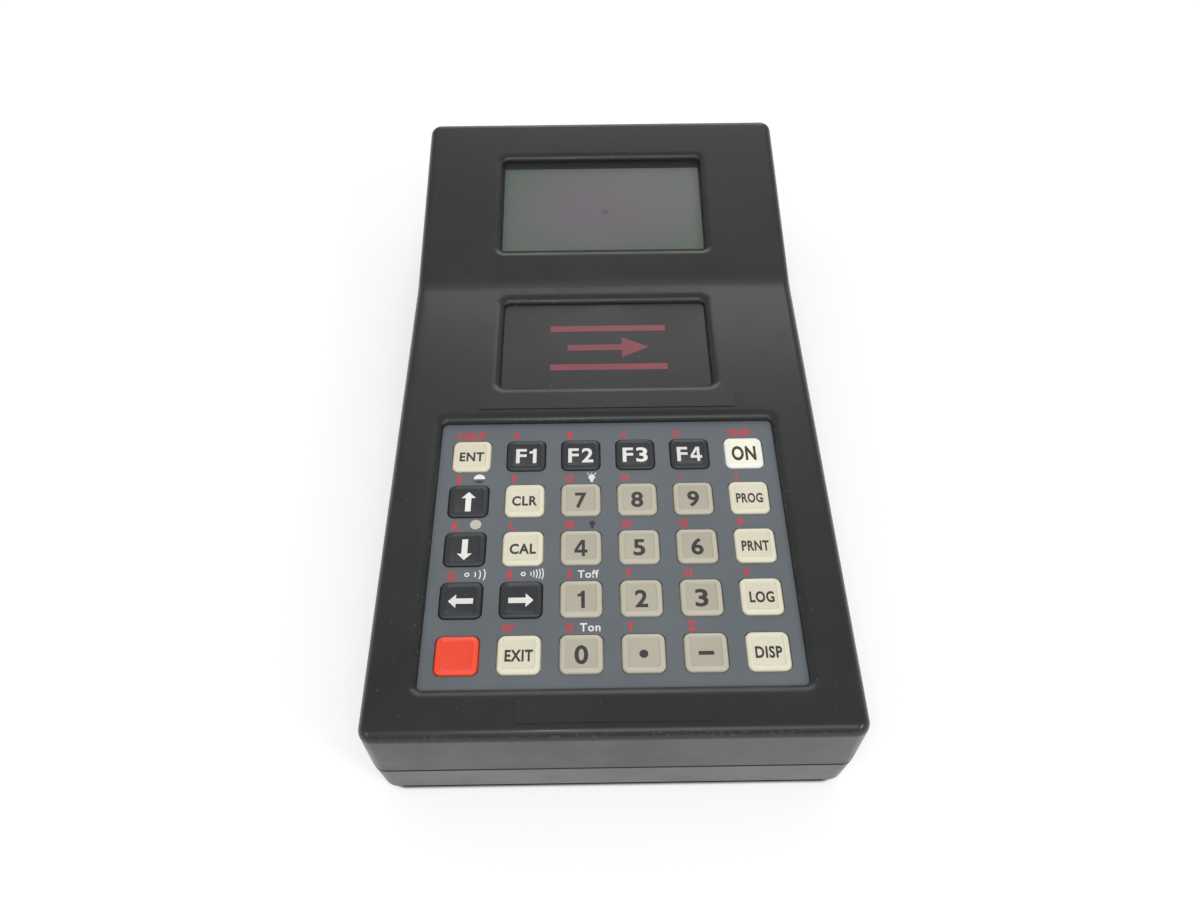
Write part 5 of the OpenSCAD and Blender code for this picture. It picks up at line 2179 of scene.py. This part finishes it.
@dataclass(frozen=True)
class Studio:
    """The white floor, the lamps and the camera.

    Attributes:
        floor_half: Half size of the floor.
        floor_drop: How far the floor lies below the origin, so that nothing is on one plane with it.
        paper: Colour of the floor.
        under: Painted shadow: the dark colour painted on the floor under the case.
        glow: Share of the floor's own light near the object.
        fade: Where the glow starts to grow and where it is whole, from the origin.
        shade_half: Half size of the painted shadow under the case.
        shade_corner: Corner radius of that area.
        shade_soft: How far its edge fades inwards and outwards.
        camera_place: Place of the camera.
        camera_turn: Turn of the camera in degrees.
        lens: Focal length of the camera.
        world: Strength of the room's light on the object.
        lamps: The lamps.
    """

    floor_half: float = 3000.0
    floor_drop: float = 0.02
    paper: Colour = (0.8, 0.8, 0.8)
    under: Colour = (0.02, 0.02, 0.02)
    glow: float = 0.36
    fade: Point = (350.0, 800.0)
    shade_half: Point = (63.6, 119.2)
    shade_corner: float = 6.0
    shade_soft: Point = (0.8, 0.4)
    camera_place: Place = (-3.965, -216.8, 281.236)
    camera_turn: Place = (37.51809, 0.24464, -0.79776)
    lens: float = 30.3115
    world: float = 0.5
    lamps: tuple[Lamp, ...] = (
        Lamp("far_softbox", (0.15, 1.6, 0.95), 1.1, 7.6),
        Lamp("front_softbox", (0.15, -1.0, 1.6), 0.9, 6.5),
        Lamp("right_softbox", (0.9, -0.7, 0.8), 0.35, 3.5),
        Lamp("left_softbox", (-0.9, -0.7, 0.8), 0.35, 2.4),
        Lamp("flash_lamp", (-0.03, -0.235, 0.3), 0.012, 0.045, (0.0, -0.02, 0.03)),
    )

    def build(self) -> None:
        """Build the stage."""
        self.floor()
        self.sky()
        for lamp in self.lamps:
            lamp.build()
        self.camera()

    def floor(self) -> None:
        """The floor: white to the eye and in reflections; it keeps the lamps' shadows, and a painted shadow
        darkens it under the case.
        """
        half = self.floor_half
        sheet = Sheet()
        sheet.face([(x, y, -self.floor_drop) for x, y in block((-half, -half), (half, half))])
        made = sheet.piece("studio_floor")
        material = bpy.data.materials.new("studio_paper")
        material.use_nodes = True
        material.node_tree.nodes.clear()
        graph = ShaderGraph(material.node_tree)
        ray = graph.node("ShaderNodeLightPath").outputs
        seen = graph.sum("MAXIMUM", ray["Is Camera Ray"], ray["Is Glossy Ray"])
        seen = graph.sum("MAXIMUM", seen, ray["Is Transmission Ray"])
        away = graph.vector("LENGTH", graph.place())["Value"]
        # Painted shadow: where this mask is 0, under the case, the floor's colour is painted dark and its
        # glow is taken away.
        clear = self.outside_painted_shadow(graph)
        share = graph.product(graph.remap(away, self.fade[0] * MM, self.fade[1] * MM), 1.0 - self.glow)
        share = graph.product(seen, graph.product(graph.sum("ADD", share, self.glow), clear))
        cloth = graph.node("ShaderNodeBsdfDiffuse", {"Color": graph.blend(clear, self.under, self.paper)})
        glow = graph.node("ShaderNodeEmission", {"Strength": share})
        both = graph.node("ShaderNodeAddShader", {0: cloth.outputs[0], 1: glow.outputs[0]})
        graph.node("ShaderNodeOutputMaterial", {"Surface": both.outputs[0]})
        made.data.materials.append(material)

    def outside_painted_shadow(self, graph: ShaderGraph) -> Socket:
        """A mask of the painted shadow on the floor: 0 under the case, with its rounded corners, and 1 clear
        of it.

        Args:
            graph: The floor's graph.

        Returns:
            The mask.
        """
        axes = graph.axes(graph.place())
        past = graph.node("ShaderNodeCombineXYZ")
        for axis, half in zip("XY", self.shade_half):
            reach = graph.sum("SUBTRACT", graph.sum("ABSOLUTE", axes[axis]), (half - self.shade_corner) * MM)
            graph.feed(past.inputs[axis], graph.sum("MAXIMUM", reach, 0.0))
        out = graph.vector("LENGTH", past.outputs[0])["Value"]
        edge = self.shade_corner * MM
        return graph.remap(out, edge - self.shade_soft[0] * MM, edge + self.shade_soft[1] * MM)

    def sky(self) -> None:
        """The room's light: plain grey for the object and white where the camera sees it."""
        world = bpy.data.worlds.new("studio_room")
        world.use_nodes = True
        world.node_tree.nodes.clear()
        bpy.context.scene.world = world
        graph = ShaderGraph(world.node_tree)
        seen = graph.node("ShaderNodeLightPath").outputs["Is Camera Ray"]
        strength = graph.sum("MAXIMUM", seen, self.world)
        back = graph.node("ShaderNodeBackground", {"Color": (1.0, 1.0, 1.0), "Strength": strength})
        graph.node("ShaderNodeOutputWorld", {"Surface": back.outputs[0]})

    def camera(self) -> None:
        """The camera at the photograph's viewing angle."""
        data = bpy.data.cameras.new("photo_camera")
        data.lens = self.lens
        data.sensor_width = 36.0
        data.sensor_fit = "HORIZONTAL"
        data.clip_start = 0.01
        made = link("photo_camera", data)
        made.location = Vector(self.camera_place) * MM
        made.rotation_euler = Euler([math.radians(angle) for angle in self.camera_turn])
        bpy.context.scene.camera = made


def main() -> None:
    """Build every sub-assembly and log when each is done."""
    logging.basicConfig(level=logging.INFO, format="%(name)s: %(message)s")
    bpy.context.scene.view_settings.view_transform = "Standard"
    for part in (Studio(), TopCase(), BottomCase(), Display(), Badge(), Keypad(), Electronics(), Sockets()):
        part.build()
        LOG.info("%s is done", type(part).__name__)


if __name__ == "__main__":
    main()
